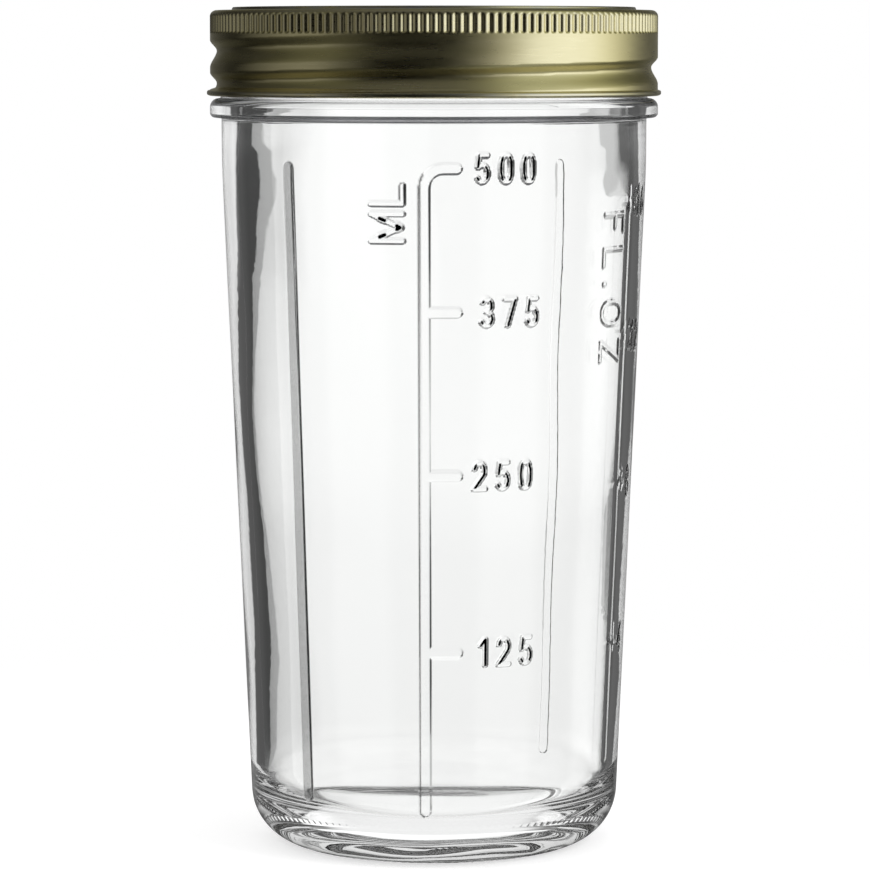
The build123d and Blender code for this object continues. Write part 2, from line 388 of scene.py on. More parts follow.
def turned_surface(name, outline, columns, shape, wanted=None, depth=0, closed=False):
    """Mesh of shape(angle, arc) over a graded grid, with the normals of the surface itself.

    A normal is the cross product of the central differences of the shape along the angle and along the
    outline. The rows that lie on the axis close to a single point.
    """
    arcs = outline[2]
    rows = len(arcs) - 1
    scale = 1 << depth

    def arc_of(row):
        return np.interp(row, np.arange(rows + 1), arcs)

    def wanted_here(level, column, row):
        size = 1.0 / (1 << level)
        return wanted(level, (column + 0.5) * size / columns * TURN, arc_of((row + 0.5) * size))

    (i, j), triangles = graded_grid(columns, rows, wanted_here if wanted else None, depth, closed)
    angle, arc = i / (columns * scale) * TURN, arc_of(j / scale)
    points = shape(angle, arc)
    if not closed:
        joined = np.arange(len(points))
        for row in (0, rows * scale):
            joined[j == row] = np.nonzero(j == row)[0][0]
        triangles = joined[triangles]
    distinct = (triangles != np.roll(triangles, 1, axis=1)).all(axis=1)
    triangles = triangles[distinct]
    kept, triangles = np.unique(triangles, return_inverse=True)
    triangles = triangles.reshape(-1, 3)
    angle, arc, points = angle[kept], arc[kept], points[kept]
    small_angle, small_arc = 0.0004, 0.012 * MM
    top = outline[1][-1]
    ahead, behind = arc + small_arc, arc - small_arc
    if closed:
        ahead, behind = ahead % top, behind % top
    else:
        ahead, behind = np.minimum(ahead, top - 1e-7), np.maximum(behind, 1e-7)
    round_run = shape(angle + small_angle, arc) - shape(angle - small_angle, arc)
    up_run = shape(angle, ahead) - shape(angle, behind)
    normals = np.cross(round_run, up_run)
    on_axis = np.hypot(points[:, 0], points[:, 1]) < 1e-6
    normals[on_axis] = np.stack([0 * arc, 0 * arc, np.where(arc < top / 2, -1.0, 1.0)], axis=1)[on_axis]
    normals /= np.maximum(np.linalg.norm(normals, axis=1, keepdims=True), 1e-12)
    return put_mesh(name, points, triangles, normals), angle, arc


def put_mesh(name, points, triangles, normals=None):
    """New object at the origin whose mesh holds the points, triangles and normals as they are."""
    mesh = bpy.data.meshes.new(name)
    mesh.vertices.add(len(points))
    mesh.vertices.foreach_set("co", points.astype(np.float32).ravel())
    mesh.loops.add(triangles.size)
    mesh.loops.foreach_set("vertex_index", triangles.astype(np.int32).ravel())
    mesh.polygons.add(len(triangles))
    mesh.polygons.foreach_set("loop_start", np.arange(0, triangles.size, 3, dtype=np.int32))
    mesh.polygons.foreach_set("loop_total", np.full(len(triangles), 3, np.int32))
    mesh.update(calc_edges=True)
    mesh.validate()
    mesh.shade_smooth()
    if normals is not None:
        mesh.normals_split_custom_set_from_vertices(normals.astype(np.float32))
    piece = bpy.data.objects.new(name, mesh)
    bpy.context.scene.collection.objects.link(piece)
    return piece


def around(radius, height, angle):
    """Points at a radius, a height and an angle round the axis."""
    return np.stack([radius * np.cos(angle), radius * np.sin(angle), height], axis=1)


def smooth(low, high, value):
    """Smooth step from 0 at low to 1 at high."""
    share = np.clip((value - low) / (high - low), 0.0, 1.0)
    return share * share * (3 - 2 * share)


def helix_offset(angle, height, start_degrees, start_height, turns):
    """Distance up from the nearest turn of a thread line, and that turn's place along the thread in radians.

    The line rises by one pitch a turn from its start. Of the turns that pass through an angle, the nearest
    in height counts.
    """
    pitch = THREAD_PITCH * MM
    first = np.mod(angle - math.radians(start_degrees), TURN)
    wraps = np.arange(int(math.ceil(turns)) + 1)
    along = first[:, None] + wraps[None, :] * TURN
    offset = height[:, None] - (start_height * MM + pitch * along / TURN)
    offset = np.where(along <= turns * TURN, offset, 1.0)
    best = np.argmin(np.abs(offset), axis=1)
    line = np.arange(len(first))
    return offset[line, best], along[line, best]


def between(value, zone):
    """Where a value in metres lies within a zone in millimetres."""
    return (value > zone[0] * MM) & (value < zone[1] * MM)


# Raised marks


class Mark(NamedTuple):
    """Raised mark of the glass: its angle, its strokes, its section and the shade painted on its upright
    strokes.

    Segments are in (u, height). The section is flat on top up to the flat half width and ends at the half
    width. Left, right and middle are the painted shade of the two flanks and of the core, which darkens the
    glass's colour for the dark that the strokes bend into view. The core is full up to its share of the half
    width, and only in strokes more upright than rise.
    """

    angle: float
    segments: np.ndarray
    half: float
    flat: float
    relief: float
    left: float = 0.0
    right: float = 0.0
    middle: float = 0.0
    core: float = 0.7
    rise: float = 0.55


def points_of(*points):
    """Points of a stroke as an array."""
    return np.array(points, float)


def bow(cx, cy, rx, ry, start, end, count=11, square=1.0):
    """Points of an arc: centre plus radii times cosine and sine, raised to a power below 1 to square it."""
    t = np.radians(np.linspace(start, end, count))
    x, y = np.cos(t), np.sin(t)
    x, y = np.sign(x) * np.abs(x) ** square, np.sign(y) * np.abs(y) ** square
    return np.stack([cx + rx * x, cy + ry * y], axis=1)


def glyphs():
    """Strokes and width of each character, in a box one unit high."""
    two = np.vstack([bow(0.3, 0.7, 0.29, 0.3, 165, -35), points_of((0.0, 0.0), (0.62, 0.0))])
    flag = points_of((0.56, 1.0), (0.1, 1.0), (0.05, 0.55))
    five = np.vstack([flag, bow(0.27, 0.32, 0.32, 0.32, 115, -150)])
    return {
        "0": ([bow(0.3, 0.5, 0.3, 0.5, 0, 360, 25, 0.75)], 0.6),
        "1": ([points_of((0.0, 0.76), (0.26, 1.0), (0.26, 0.0))], 0.3),
        "2": ([two], 0.62),
        "3": ([bow(0.27, 0.76, 0.27, 0.24, 150, -90), bow(0.27, 0.26, 0.31, 0.26, 90, -155)], 0.58),
        "4": ([points_of((0.44, 0.0), (0.44, 1.0), (0.0, 0.3), (0.62, 0.3))], 0.62),
        "5": ([five], 0.6),
        "6": ([bow(0.3, 0.3, 0.29, 0.3, 0, 360, 21), bow(0.66, 0.3, 0.65, 0.7, 122, 180, 7)], 0.6),
        "7": ([points_of((0.0, 1.0), (0.6, 1.0), (0.18, 0.0))], 0.6),
        "8": ([bow(0.3, 0.75, 0.24, 0.25, 0, 360, 17), bow(0.3, 0.26, 0.29, 0.26, 0, 360, 17)], 0.6),
        "M": ([points_of((0.0, 0.0), (0.0, 1.0), (0.42, 0.06), (0.84, 1.0), (0.84, 0.0))], 0.84),
        "L": ([points_of((0.0, 1.0), (0.0, 0.0), (0.56, 0.0))], 0.56),
        "F": ([points_of((0.0, 0.0), (0.0, 1.0), (0.56, 1.0)), points_of((0.0, 0.52), (0.44, 0.52))], 0.56),
        "O": ([bow(0.38, 0.5, 0.38, 0.5, 0, 360, 25, 0.85)], 0.76),
        "Z": ([points_of((0.0, 1.0), (0.62, 1.0), (0.0, 0.0), (0.62, 0.0))], 0.62),
        ".": ([points_of((0.0, 0.04), (0.0, 0.1))], 0.0),
    }


def segments_of(strokes):
    """Straight pieces (u0, v0, u1, v1) of all strokes."""
    return np.concatenate([np.hstack([stroke[:-1], stroke[1:]]) for stroke in strokes])


def lettering(text, size, gap, quarter_turns=0, squeeze=1.0):
    """Segments of a text, from its left end on the centre of its height, turned by quarter turns."""
    table = glyphs()
    strokes, along = [], 0.0
    for letter in text:
        shapes, width = table[letter]
        strokes += [(shape * (squeeze, 1.0) + (along, -0.5)) * size for shape in shapes]
        along += width * squeeze + gap / size
    cos, sin = ((1, 0), (0, 1), (-1, 0), (0, -1))[quarter_turns % 4]
    turn = np.array([[cos, sin], [-sin, cos]])
    return segments_of([stroke @ turn for stroke in strokes])


def measuring_bar(bar, marks):
    """Segments in mm of a scale: its bar, bent by a quarter arc into the top tick, and its other ticks."""
    low, bend, top_tick, tick = bar
    top = marks[0][1]
    corner = bow(bend, top - bend, bend, bend, 180, 90, 9)
    spine = np.vstack([points_of((0, low)), corner, points_of((top_tick, top))])
    return segments_of([spine] + [points_of((0, height), (tick, height)) for _, height, _ in marks[1:]])


def bearing(azimuth):
    """Angle in radians of an azimuth in degrees from the front."""
    return math.radians(FRONT_ANGLE + azimuth)


def raised(segments, height):
    """Segments in metres moved up by a height in millimetres."""
    return segments + (0, height * MM, 0, height * MM)


def raised_marks(glass):
    """All raised marks of the glass: two scales, two seam ribs, the scales' numbers and their units."""
    line, line_relief = glass.scale_width, glass.scale_relief
    rib, rib_relief = glass.rib_width, glass.rib_relief
    size, stroke, relief = glass.digit_height, glass.digit_width, glass.digit_relief
    front_bar, side_bar = measuring_bar(FRONT_BAR, FRONT_MARKS) * MM, measuring_bar(SIDE_BAR, SIDE_MARKS) * MM
    # Left, right and middle values of a mark are painted shade on its flanks and core
    marks = [
        Mark(bearing(FRONT_BAR_AZIMUTH), front_bar, line, line * 0.5, line_relief, left=0.6),
        Mark(bearing(SIDE_BAR_AZIMUTH), side_bar, line, line * 0.3, line_relief * 0.2),
    ]
    upright = segments_of([points_of((0, RIB_ENDS[0]), (0, RIB_ENDS[1]))]) * MM
    # The ribs' flanks and middle get painted shade
    for azimuth, rib_shade in zip(RIB_AZIMUTHS, RIB_PAINTED_SHADE):
        marks.append(Mark(bearing(azimuth), upright, rib, rib * 0.76, rib_relief, 0.5, 0.4, rib_shade))
    for text, height, azimuth in FRONT_MARKS:
        number = raised(lettering(text, size, 2.55 * MM, squeeze=0.68), height)
        marks.append(Mark(bearing(azimuth), number, stroke, stroke * 0.36, relief, middle=1.0, core=0.14))
    for text, height, azimuth in SIDE_MARKS:
        number = raised(lettering(text, size, 2.2 * MM, squeeze=0.7), height)
        marks.append(Mark(bearing(azimuth), number, stroke, stroke * 0.2, relief * 0.35))
    azimuth, height = UNIT_PLACE
    unit = raised(lettering("ML", size * 1.22, 1.9 * MM, 1), height)
    # Painted shade: black spots on the M, for the dark that its strokes bend into view
    spots = raised(segments_of([points_of(*spot) for spot in UNIT_SHADE_SPOTS]) * MM, height)
    marks.append(Mark(bearing(azimuth), unit, stroke, stroke * 0.4, relief, 0.45, 0.6))
    spot = Mark(bearing(azimuth), spots, stroke * 1.4, stroke * 0.4, relief, middle=1.0, core=0.14, rise=-0.3)
    marks.append(spot)
    azimuth, height = SIDE_UNIT_PLACE
    unit = raised(lettering("FL.OZ", size * 1.38, 3.5 * MM, 3, 0.82), height)
    marks.append(Mark(bearing(azimuth), unit, stroke, stroke * 0.2, relief * 0.4, 0.12, 0.12))
    return marks


def stroke_distance(u, v, segments):
    """Distance from points to the nearest segment, and how upright it is.

    The distance runs to the foot of the perpendicular, kept on the segment. Upright is the segment's rise
    over its length.
    """
    a, run = segments[:, :2], segments[:, 2:] - segments[:, :2]
    du, dv = u[:, None] - a[None, :, 0], v[:, None] - a[None, :, 1]
    share = (du * run[:, 0] + dv * run[:, 1]) / np.maximum((run**2).sum(axis=1), 1e-14)
    share = np.clip(share, 0.0, 1.0)
    gaps = np.hypot(du - share * run[:, 0], dv - share * run[:, 1])
    nearest = np.argmin(gaps, axis=1)
    upright = np.abs(run[:, 1]) / np.maximum(np.hypot(run[:, 0], run[:, 1]), 1e-9)
    return gaps[np.arange(len(u)), nearest], upright[nearest]


def stroke_shade(mark, u, gap, upright):
    """Painted shade of a mark where its u, the distance from its stroke and the stroke's uprightness are
    given.

    On a flank it is full halfway down and falls to nothing at both edges. In the core it is full, and it
    falls to nothing over 0.4 of the half width.
    """
    down = np.clip((gap - mark.flat) / (mark.half - mark.flat), 0.0, 1.0)
    flank = smooth(0.0, 0.35, 4 * down * (1 - down)) * smooth(0.6, 0.9, upright)
    flank *= np.where(u < 0, mark.left, mark.right)
    core = 1 - smooth(mark.core * mark.half, (mark.core + 0.4) * mark.half, gap)
    return np.maximum(flank, mark.middle * core * smooth(mark.rise, mark.rise + 0.3, upright))


def mark_fields(marks, angle, radius, height, shaded=False):
    """Relief height, distance to the nearest flank of a raised mark and painted shade at points of the wall.

    A point's u is its radius times its angle from the mark. The relief falls smoothly from full at the flat
    half width to nothing at the half width. Each value is the largest of any mark's, the distance the least.
    """
    relief, distance, shade = np.zeros_like(height), np.full_like(height, 1.0), np.zeros_like(height)
    reach = MARK_REACH * MM
    for mark in marks:
        u = radius * (np.mod(angle - mark.angle + math.pi, TURN) - math.pi)
        across, up = mark.segments[:, [0, 2]], mark.segments[:, [1, 3]]
        near = (u > across.min() - reach) & (u < across.max() + reach)
        near &= (height > up.min() - reach) & (height < up.max() + reach)
        if not near.any():
            continue
        gap, upright = stroke_distance(u[near], height[near], mark.segments)
        relief[near] = np.maximum(relief[near], mark.relief * (1 - smooth(mark.flat, mark.half, gap)))
        to_flank = np.abs(gap - (mark.flat + mark.half) / 2) - (mark.half - mark.flat) / 2
        distance[near] = np.minimum(distance[near], to_flank)
        if shaded:
            shade[near] = np.maximum(shade[near], stroke_shade(mark, u[near], gap, upright))
    return relief, distance, shade


# Node building


def feed(tree, node, inputs):
    """Inputs of a node by name or number: a socket is joined to its input, any other value is set on it."""
    for name, value in inputs.items():
        if isinstance(value, bpy.types.NodeSocket):
            tree.links.new(value, node.inputs[name])
        else:
            node.inputs[name].default_value = value


def place(tree, kind, inputs=None, **settings):
    """Node of a kind, with its settings and then its inputs."""
    node = tree.nodes.new(kind)
    for name, value in settings.items():
        setattr(node, name, value)
    feed(tree, node, inputs or {})
    return node


def math_node(tree, operation, *values):
    """Math node's output for sockets or numbers."""
    return place(tree, "ShaderNodeMath", dict(enumerate(values)), operation=operation).outputs[0]


def ramp(tree, source, stops, interpolation="LINEAR"):
    """Colour ramp's output: stops are (place, grey level or colour)."""
    node = place(tree, "ShaderNodeValToRGB", {0: source})
    node.color_ramp.interpolation = interpolation
    elements = node.color_ramp.elements
    while len(elements) > 1:
        elements.remove(elements[-1])
    for index, (position, tone) in enumerate(stops):
        element = elements[0] if index == 0 else elements.new(position)
        element.position = position
        element.color = (*tone, 1.0) if isinstance(tone, (tuple, list)) else (tone, tone, tone, 1.0)
    return node.outputs[0]


def mix_colour(tree, factor, first, second, blend_type="MIX"):
    """Mixed colour of two sockets, colours or grey levels by a factor socket or number."""
    node = place(tree, "ShaderNodeMix", data_type="RGBA", blend_type=blend_type)
    for name, value in (("Factor", factor), ("A", first), ("B", second)):
        socket = next(socket for socket in node.inputs if socket.name == name and socket.enabled)
        if isinstance(value, bpy.types.NodeSocket):
            tree.links.new(value, socket)
        elif name == "Factor":
            socket.default_value = value
        elif isinstance(value, (tuple, list)):
            socket.default_value = (*value, 1.0)
        else:
            socket.default_value = (value, value, value, 1.0)
    return next(socket for socket in node.outputs if socket.enabled)


def noise(tree, vector, scale, detail=2.0):
    """Noise texture's value at a vector."""
    inputs = {"Vector": vector, "Scale": scale, "Detail": detail}
    return place(tree, "ShaderNodeTexNoise", inputs).outputs["Fac"]


def stretched(tree, vector, upright):
    """Vector whose upright part is multiplied by a number."""
    return place(tree, "ShaderNodeMapping", {"Vector": vector, "Scale": (1.0, 1.0, upright)}).outputs[0]


def fade(tree, value, start, end, top=1.0):
    """Smooth step of a value, from nought at the start to the top at the end."""
    inputs = {"Value": value, "From Min": start, "From Max": end, "To Max": top}
    return place(tree, "ShaderNodeMapRange", inputs, interpolation_type="SMOOTHSTEP").outputs[0]


def vector_math(tree, operation, inputs):
    """Vector Math node's output."""
    return place(tree, "ShaderNodeVectorMath", inputs, operation=operation).outputs[0]


def bump_into(tree, shader, height, strength, distance):
    """Bump of a height on the normal of a shader."""
    bump = place(tree, "ShaderNodeBump", {"Strength": strength, "Distance": distance, "Height": height})
    feed(tree, shader, {"Normal": bump.outputs[0]})


def new_group(name, inputs, outputs):
    """Node group with inputs (name, socket kind, default) and outputs (name, socket kind)."""
    group = bpy.data.node_groups.new(name, "ShaderNodeTree")
    for label, kind, default in inputs:
        group.interface.new_socket(name=label, in_out="INPUT", socket_type=kind).default_value = default
    for label, kind in outputs:
        group.interface.new_socket(name=label, in_out="OUTPUT", socket_type=kind)
    return group, group.nodes.new("NodeGroupInput").outputs, group.nodes.new("NodeGroupOutput")


def satin_group():
    """Group for rolled and lacquered sheet: colour drift, dulled patches and a fine grain of height."""
    found = bpy.data.node_groups.get("Satin lacquer")
    if found:
        return found
    group, given, result = new_group(
        "Satin lacquer",
        [
            ("Lacquer", "NodeSocketColor", (0.7, 0.65, 0.4, 1)),
            ("Bare tin", "NodeSocketColor", (0.8, 0.78, 0.7, 1)),
            ("Rub", "NodeSocketFloat", 0.0),
            ("Dullness", "NodeSocketFloat", 0.3),
        ],
        [("Color", "NodeSocketColor"), ("Roughness", "NodeSocketFloat"), ("Height", "NodeSocketFloat")],
    )
    coordinates = group.nodes.new("ShaderNodeTexCoord").outputs["Object"]
    cloud = noise(group, coordinates, 55.0, 3.0)
    streak = noise(group, stretched(group, coordinates, 14.0), 240.0, 4.0)
    grain = noise(group, coordinates, 2600.0)
    drift = ramp(group, cloud, [(0.3, 0.93), (0.7, 1.0)])
    lacquer = mix_colour(group, 1.0, given["Lacquer"], drift, "MULTIPLY")
    worn = math_node(group, "MULTIPLY", given["Rub"], ramp(group, streak, [(0.35, 0.2), (0.65, 1.0)]))
    streaky = math_node(group, "SUBTRACT", streak, 0.5)
    dull = math_node(group, "MULTIPLY_ADD", streaky, 0.16, given["Dullness"])
    cloudy = math_node(group, "SUBTRACT", cloud, 0.5)
    dull = math_node(group, "MULTIPLY_ADD", cloudy, 0.10, dull)
    fine = math_node(group, "MULTIPLY", grain, 0.45)
    looks = {
        "Color": mix_colour(group, worn, lacquer, given["Bare tin"]),
        "Roughness": math_node(group, "MAXIMUM", dull, 0.12),
        "Height": math_node(group, "MULTIPLY_ADD", streak, 0.55, fine),
    }
    feed(group, result, looks)
    return group


def ripple_group():
    """Group for moulded glass: a slow roll from the mould and a finer skin, as one height."""
    found = bpy.data.node_groups.get("Moulded glass")
    if found:
        return found
    group, given, result = new_group(
        "Moulded glass",
        [("Roll scale", "NodeSocketFloat", 70.0), ("Skin scale", "NodeSocketFloat", 420.0)],
        [("Height", "NodeSocketFloat")],
    )
    coordinates = group.nodes.new("ShaderNodeTexCoord").outputs["Object"]
    roll = noise(group, stretched(group, coordinates, 0.45), given["Roll scale"], 1.0)
    skin = noise(group, coordinates, given["Skin scale"], 1.0)
    feed(group, result, {"Height": math_node(group, "MULTIPLY_ADD", skin, 0.12, roll)})
    return group


def new_material(name):
    """Material with an empty tree, its Principled BSDF and its output."""
    material = bpy.data.materials.new(name)
    material.use_nodes = True
    tree = material.node_tree
    tree.nodes.clear()
    shader = tree.nodes.new("ShaderNodeBsdfPrincipled")
    place(tree, "ShaderNodeOutputMaterial", {"Surface": shader.outputs[0]})
    return material, tree, shader


def clear_glass_material(glass):
    """Clear moulded glass: smooth, with a slow roll in its skin that bends what is seen through it."""
    material, tree, shader = new_material("clear_glass")
    shade = place(tree, "ShaderNodeAttribute", attribute_name="shade").outputs["Fac"]
    # Painted shade: the shade attribute darkens the glass's colour towards black on the marks and round the
    # bead
    depth = ramp(tree, shade, [(0.0, 0.0), (0.5, 0.5), (0.62, 1.0)])
    looks = {
        "Base Color": mix_colour(tree, depth, tuple(glass.tint), (0.0, 0.0, 0.0)),
        "Metallic": 0.0,
        "Transmission Weight": 1.0,
        "IOR": glass.refraction,
        "Roughness": 0.0,
    }
    feed(tree, shader, looks)
    ripple = place(tree, "ShaderNodeGroup", node_tree=ripple_group()).outputs["Height"]
    bump_into(tree, shader, ripple, glass.ripple, 0.5 * MM)
    return material


def satin_metal_material(name, lacquer, bare, roughness):
    """Gold lacquered tinplate: satin metal, rubbed thin where the piece's rub attribute says so.

    Rays that come through glass see it grey, as the gold would tint the rim and the heel of the jar.
    """
    material, tree, shader = new_material(name)
    given = {
        "Lacquer": (*lacquer, 1.0),
        "Bare tin": (*bare, 1.0),
        "Dullness": roughness,
        "Rub": place(tree, "ShaderNodeAttribute", attribute_name="rub").outputs["Fac"],
    }
    satin = place(tree, "ShaderNodeGroup", given, node_tree=satin_group()).outputs
    depth = tree.nodes.new("ShaderNodeLightPath").outputs["Transmission Depth"]
    in_glass = math_node(tree, "GREATER_THAN", depth, 0.5)
    looks = {
        "Base Color": mix_colour(tree, in_glass, satin["Color"], (0.45, 0.45, 0.47)),
        "Roughness": satin["Roughness"],
        "Metallic": 1.0,
    }
    feed(tree, shader, looks)
    bump_into(tree, shader, satin["Height"], 0.12, 0.02 * MM)
    return material


def seal_material(seal):
    """Sealing compound: dull, slightly mottled and finely pitted."""
    material, tree, shader = new_material("sealing_compound")
    coordinates = tree.nodes.new("ShaderNodeTexCoord").outputs["Object"]
    dark = tuple(seal.mottle * value for value in seal.compound)
    factor = ramp(tree, noise(tree, coordinates, 160.0, 4.0), [(0.35, 0.0), (0.65, 1.0)])
    pits = noise(tree, coordinates, 1800.0)
    looks = {
        "Base Color": mix_colour(tree, factor, dark, tuple(seal.compound)),
        "Roughness": ramp(tree, pits, [(0.3, 0.42), (0.7, 0.6)]),
    }
    feed(tree, shader, looks)
    bump_into(tree, shader, pits, 0.25, 0.04 * MM)
    return material


def store(piece, name, values):
    """Float attribute of a piece's points."""
    attribute = piece.data.attributes.new(name, "FLOAT", "POINT")
    attribute.data.foreach_set("value", values.astype(np.float32))


# Glass


def glass_outline():
    """Section of the glass in mm: out from the punt, up the wall and neck, over the rim, down the inside."""
    return rounded_outline(
        [
            (0.0, 2.2, 0, 3.0),
            (25.0, 1.0, 0.5, 1.0),
            (26.4, 0.0, 0.5, 1.0),
            (28.5, 0.0, 0.5, 1.3),
            (36.0432, 2.5973, 11.1, 2.0),
            (BODY_RADIUS, TAPER_HEIGHT, 220.0, 2.0),
            (41.8, 143.3, 0.3, 0.7),
            (44.05, 143.45, 0.9, 0.7),
            (44.05, 147.0, 1.7, 0.7),
            (NECK_RADIUS, 147.2, 0.3, 1.0),
            (NECK_RADIUS, RIM_HEIGHT, 1.2, 1.2),
            (BORE_RADIUS, RIM_HEIGHT, 0.9, 2.0),
            (BORE_RADIUS, 149.5, 150.0, 3.0),
            (38.75, TAPER_HEIGHT, 150.0, 4.0),
            (33.365, 5.4, 10.5, 2.5),
            (0.0, 6.2, 0, 3.0),
        ],
        closed=False,
    )


def thread_ridge(glass, angle, height):
    """Relief of the glass thread: full on a crest 1 mm wide, and a smooth step down each flank.

    A flank is 0.7 mm and 0.8 of the relief wide. Over the first and the last half radian of the thread the
    relief follows a smooth step.
    """
    gap, along = helix_offset(angle, height, *GLASS_THREAD)
    ends = smooth(0.0, 0.5, along) * smooth(0.0, 0.5, GLASS_THREAD[2] * TURN - along)
    relief = glass.thread_relief * ends
    crest, flank = 0.5 * MM, 0.7 * MM + 0.8 * relief
    return relief * (1 - smooth(crest, crest + flank, np.abs(gap)))


def outer_unevenness(glass, angle, height):
    """Faint wave of the outside wall: a sine that winds round it times a sine up it."""
    return glass.outer_wave * np.sin(3 * angle + 90 * height) * np.sin(70 * height + 1)


def inner_unevenness(glass, angle, radius, height, past_rim):
    """Unevenness inside: the sum of three sines that wind round the wall, and the floor's own.

    The first grows over 14 mm past the rim and falls towards the axis. The floor's is the product of two
    plane sines, from 30 mm off the axis inwards.
    """
    wave = np.sin(2 * angle + 55 * height + 0.6) + 0.7 * np.sin(5 * angle - 95 * height + 2.1)
    wave += 0.45 * np.sin(9 * angle + 150 * height)
    grown = smooth(0, 14 * MM, past_rim) * smooth(4 * MM, 24 * MM, radius)
    x, y = radius * np.cos(angle), radius * np.sin(angle)
    dish = np.sin(210 * x + 60 * y + 0.4) * np.sin(250 * y - 70 * x + 1.1)
    on_floor = 1 - smooth(20 * MM, 30 * MM, radius)
    return glass.inner_wave * wave * grown + glass.floor_wave * dish * on_floor


def foot_lift(glass, angle, radius):
    """Lift of the foot's notches: a smooth step of a raised cosine of the angle times their number."""
    notch = smooth(0.25, 0.95, 0.5 + 0.5 * np.cos(glass.foot_notches * angle))
    ring = smooth(26.9 * MM, 27.5 * MM, radius) * (1 - smooth(28.3 * MM, 29.0 * MM, radius))
    return glass.foot_notch * notch * ring


def glass_shape(glass, outline):
    """Functions of angle and arc length for the glass: its skin, where its grid gets finer, and its painted
    shade.

    The skin is the outline, moved along its normal by the raised marks, the thread and the unevenness, and
    lifted by the notches of the foot. The shade is painted shade: that of the marks, and 0.56 on a thin line
    round the bead.
    """
    marks = raised_marks(glass)
    rim = outline[1][np.argmax(outline[0][:, 1])]

    def shape(angle, arc):
        radius, height, out, up = outline_at(outline, arc)
        push = np.zeros_like(arc)
        outside = arc < rim
        wall = outside & between(height, WALL_ZONE)
        push[wall] = mark_fields(marks, angle[wall], radius[wall], height[wall])[0]
        push[wall] += outer_unevenness(glass, angle[wall], height[wall])
        neck = outside & between(height, NECK_ZONE)
        push[neck] = thread_ridge(glass, angle[neck], height[neck])
        past_rim = arc - rim - 5 * MM
        inside = (past_rim > 0) & (radius > 1 * MM)
        push[inside] = inner_unevenness(
            glass, angle[inside], radius[inside], height[inside], past_rim[inside]
        )
        on_foot = outside & (height < FOOT_TOP * MM)
        lift = np.where(on_foot, foot_lift(glass, angle, radius), 0.0)
        return around(radius + push * out, height + push * up + lift, angle)

    def wanted(level, angle, arc):
        radius, height, _, _ = outline_at(outline, arc)
        cell = 2.1 * MM / (1 << level)
        outside = arc < rim
        needed = np.zeros(len(arc), bool)
        wall = outside & between(height, WALL_ZONE)
        if wall.any():
            gap = mark_fields(marks, angle[wall], radius[wall], height[wall])[1]
            needed[wall] = gap < cell * 0.5
        neck = outside & between(height, NECK_ZONE)
        if neck.any() and level < 2:
            gap, _ = helix_offset(angle[neck], height[neck], *GLASS_THREAD)
            needed[neck] = np.abs(gap) < 1.9 * MM + cell * 0.5
        foot = outside & (height < FOOT_TOP * MM) & between(radius, NOTCH_ZONE)
        return needed | (foot & (level < 2))

    def shade(angle, arc):
        radius, height, _, _ = outline_at(outline, arc)
        wall = (arc < rim) & between(height, WALL_ZONE)
        dark = np.zeros_like(height)
        dark[wall] = mark_fields(marks, angle[wall], radius[wall], height[wall], True)[2]
        # Painted shade: a thin dark band round the top of the bead, for the dark that the bead bends into
        # view
        bead = between(height, BEAD_SHADE_ZONE) & (radius > NECK_RADIUS * MM)
        line = smooth(146.4 * MM, 146.65 * MM, height) * (1 - smooth(146.85 * MM, 147.0 * MM, height))
        return np.where(bead, 0.56 * line, dark)

    return shape, wanted, shade


class JAR_OT_glass(bpy.types.Operator):
    """Build the glass jar with its raised scales, seam ribs, notched foot and neck thread"""

    bl_idname = "starter_jar.glass"
    bl_label = "Glass Jar"

    def execute(self, context):
        glass = context.scene.jar_glass
        outline = glass_outline()
        shape, wanted, shade = glass_shape(glass, outline)
        piece, angle, arc = turned_surface("jar_glass", outline, 128, shape, wanted, 3)
        store(piece, "shade", shade(angle, arc))
        piece.data.materials.append(clear_glass_material(glass))
        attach(piece, "jar")
        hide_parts("glass_jar")
        return {"FINISHED"}


# Lid


def band_outline():
    """Closed section of the rolled sheet in mm: hem, flange, shoulder, wall, curl, and back up the inside."""
    low = CURL_HEIGHT
    inside = BAND_RADIUS - SHEET
    return rounded_outline(
        [
            (BORE_RADIUS, FLANGE_LOW, 0.1, 1.0),
            (inside, FLANGE_LOW, 0.9, 0.6),
            (inside, low + 0.55, 0.1, 1.0),
            (43.66, low - 0.5, 0.3, 0.5),
            (44.05, low - 0.56, 0.3, 0.5),
            (44.66, low - 0.3, 0.4, 0.5),
            (44.66, low + 0.42, 0.4, 0.5),
            (44.02, low + 0.62, 0.15, 0.28),
            (BAND_RADIUS, 159.2, 0.5, 1.6),
            (BAND_RADIUS, FLANGE_TOP, 1.25, 1.0),
            (39.75, FLANGE_TOP, 0.3, 0.5),
            (39.55, HEM_TOP, 0.28, 0.5),
            (BORE_RADIUS, HEM_TOP, 0.28, 0.5),
        ],
        closed=True,
    )


def groove_pull(band, angle, radius, height):
    """Depth of the rolled groove along its thread line, on both skins of the wall.

    Its section is steep above the line and longer below it, each side 0.35 of a straight line and 0.65 of a
    smooth step. Smooth steps let it run out at both ends and above the curled edge.
    """
    low = CURL_HEIGHT + 0.62
    wall = (radius > 43 * MM) & between(height, (low, 160.6))
    gap, along = helix_offset(angle[wall], height[wall], *BAND_GROOVE)
    ends = smooth(0.0, 0.6, along) * smooth(-0.15, 2.1, BAND_GROOVE[2] * TURN - along)
    low_edge = smooth(0.0, 0.5 * MM, height[wall] - low * MM)
    reach = np.where(gap > 0, band.groove_rise, band.groove_reach)
    share = np.clip((np.abs(gap) - 0.15 * MM) / (reach - 0.15 * MM), 0.0, 1.0)
    section = 1 - 0.35 * share - 0.65 * smooth(0.0, 1.0, share)
    groove = np.zeros_like(height)
    groove[wall] = band.groove_depth * ends * low_edge * section
    return groove


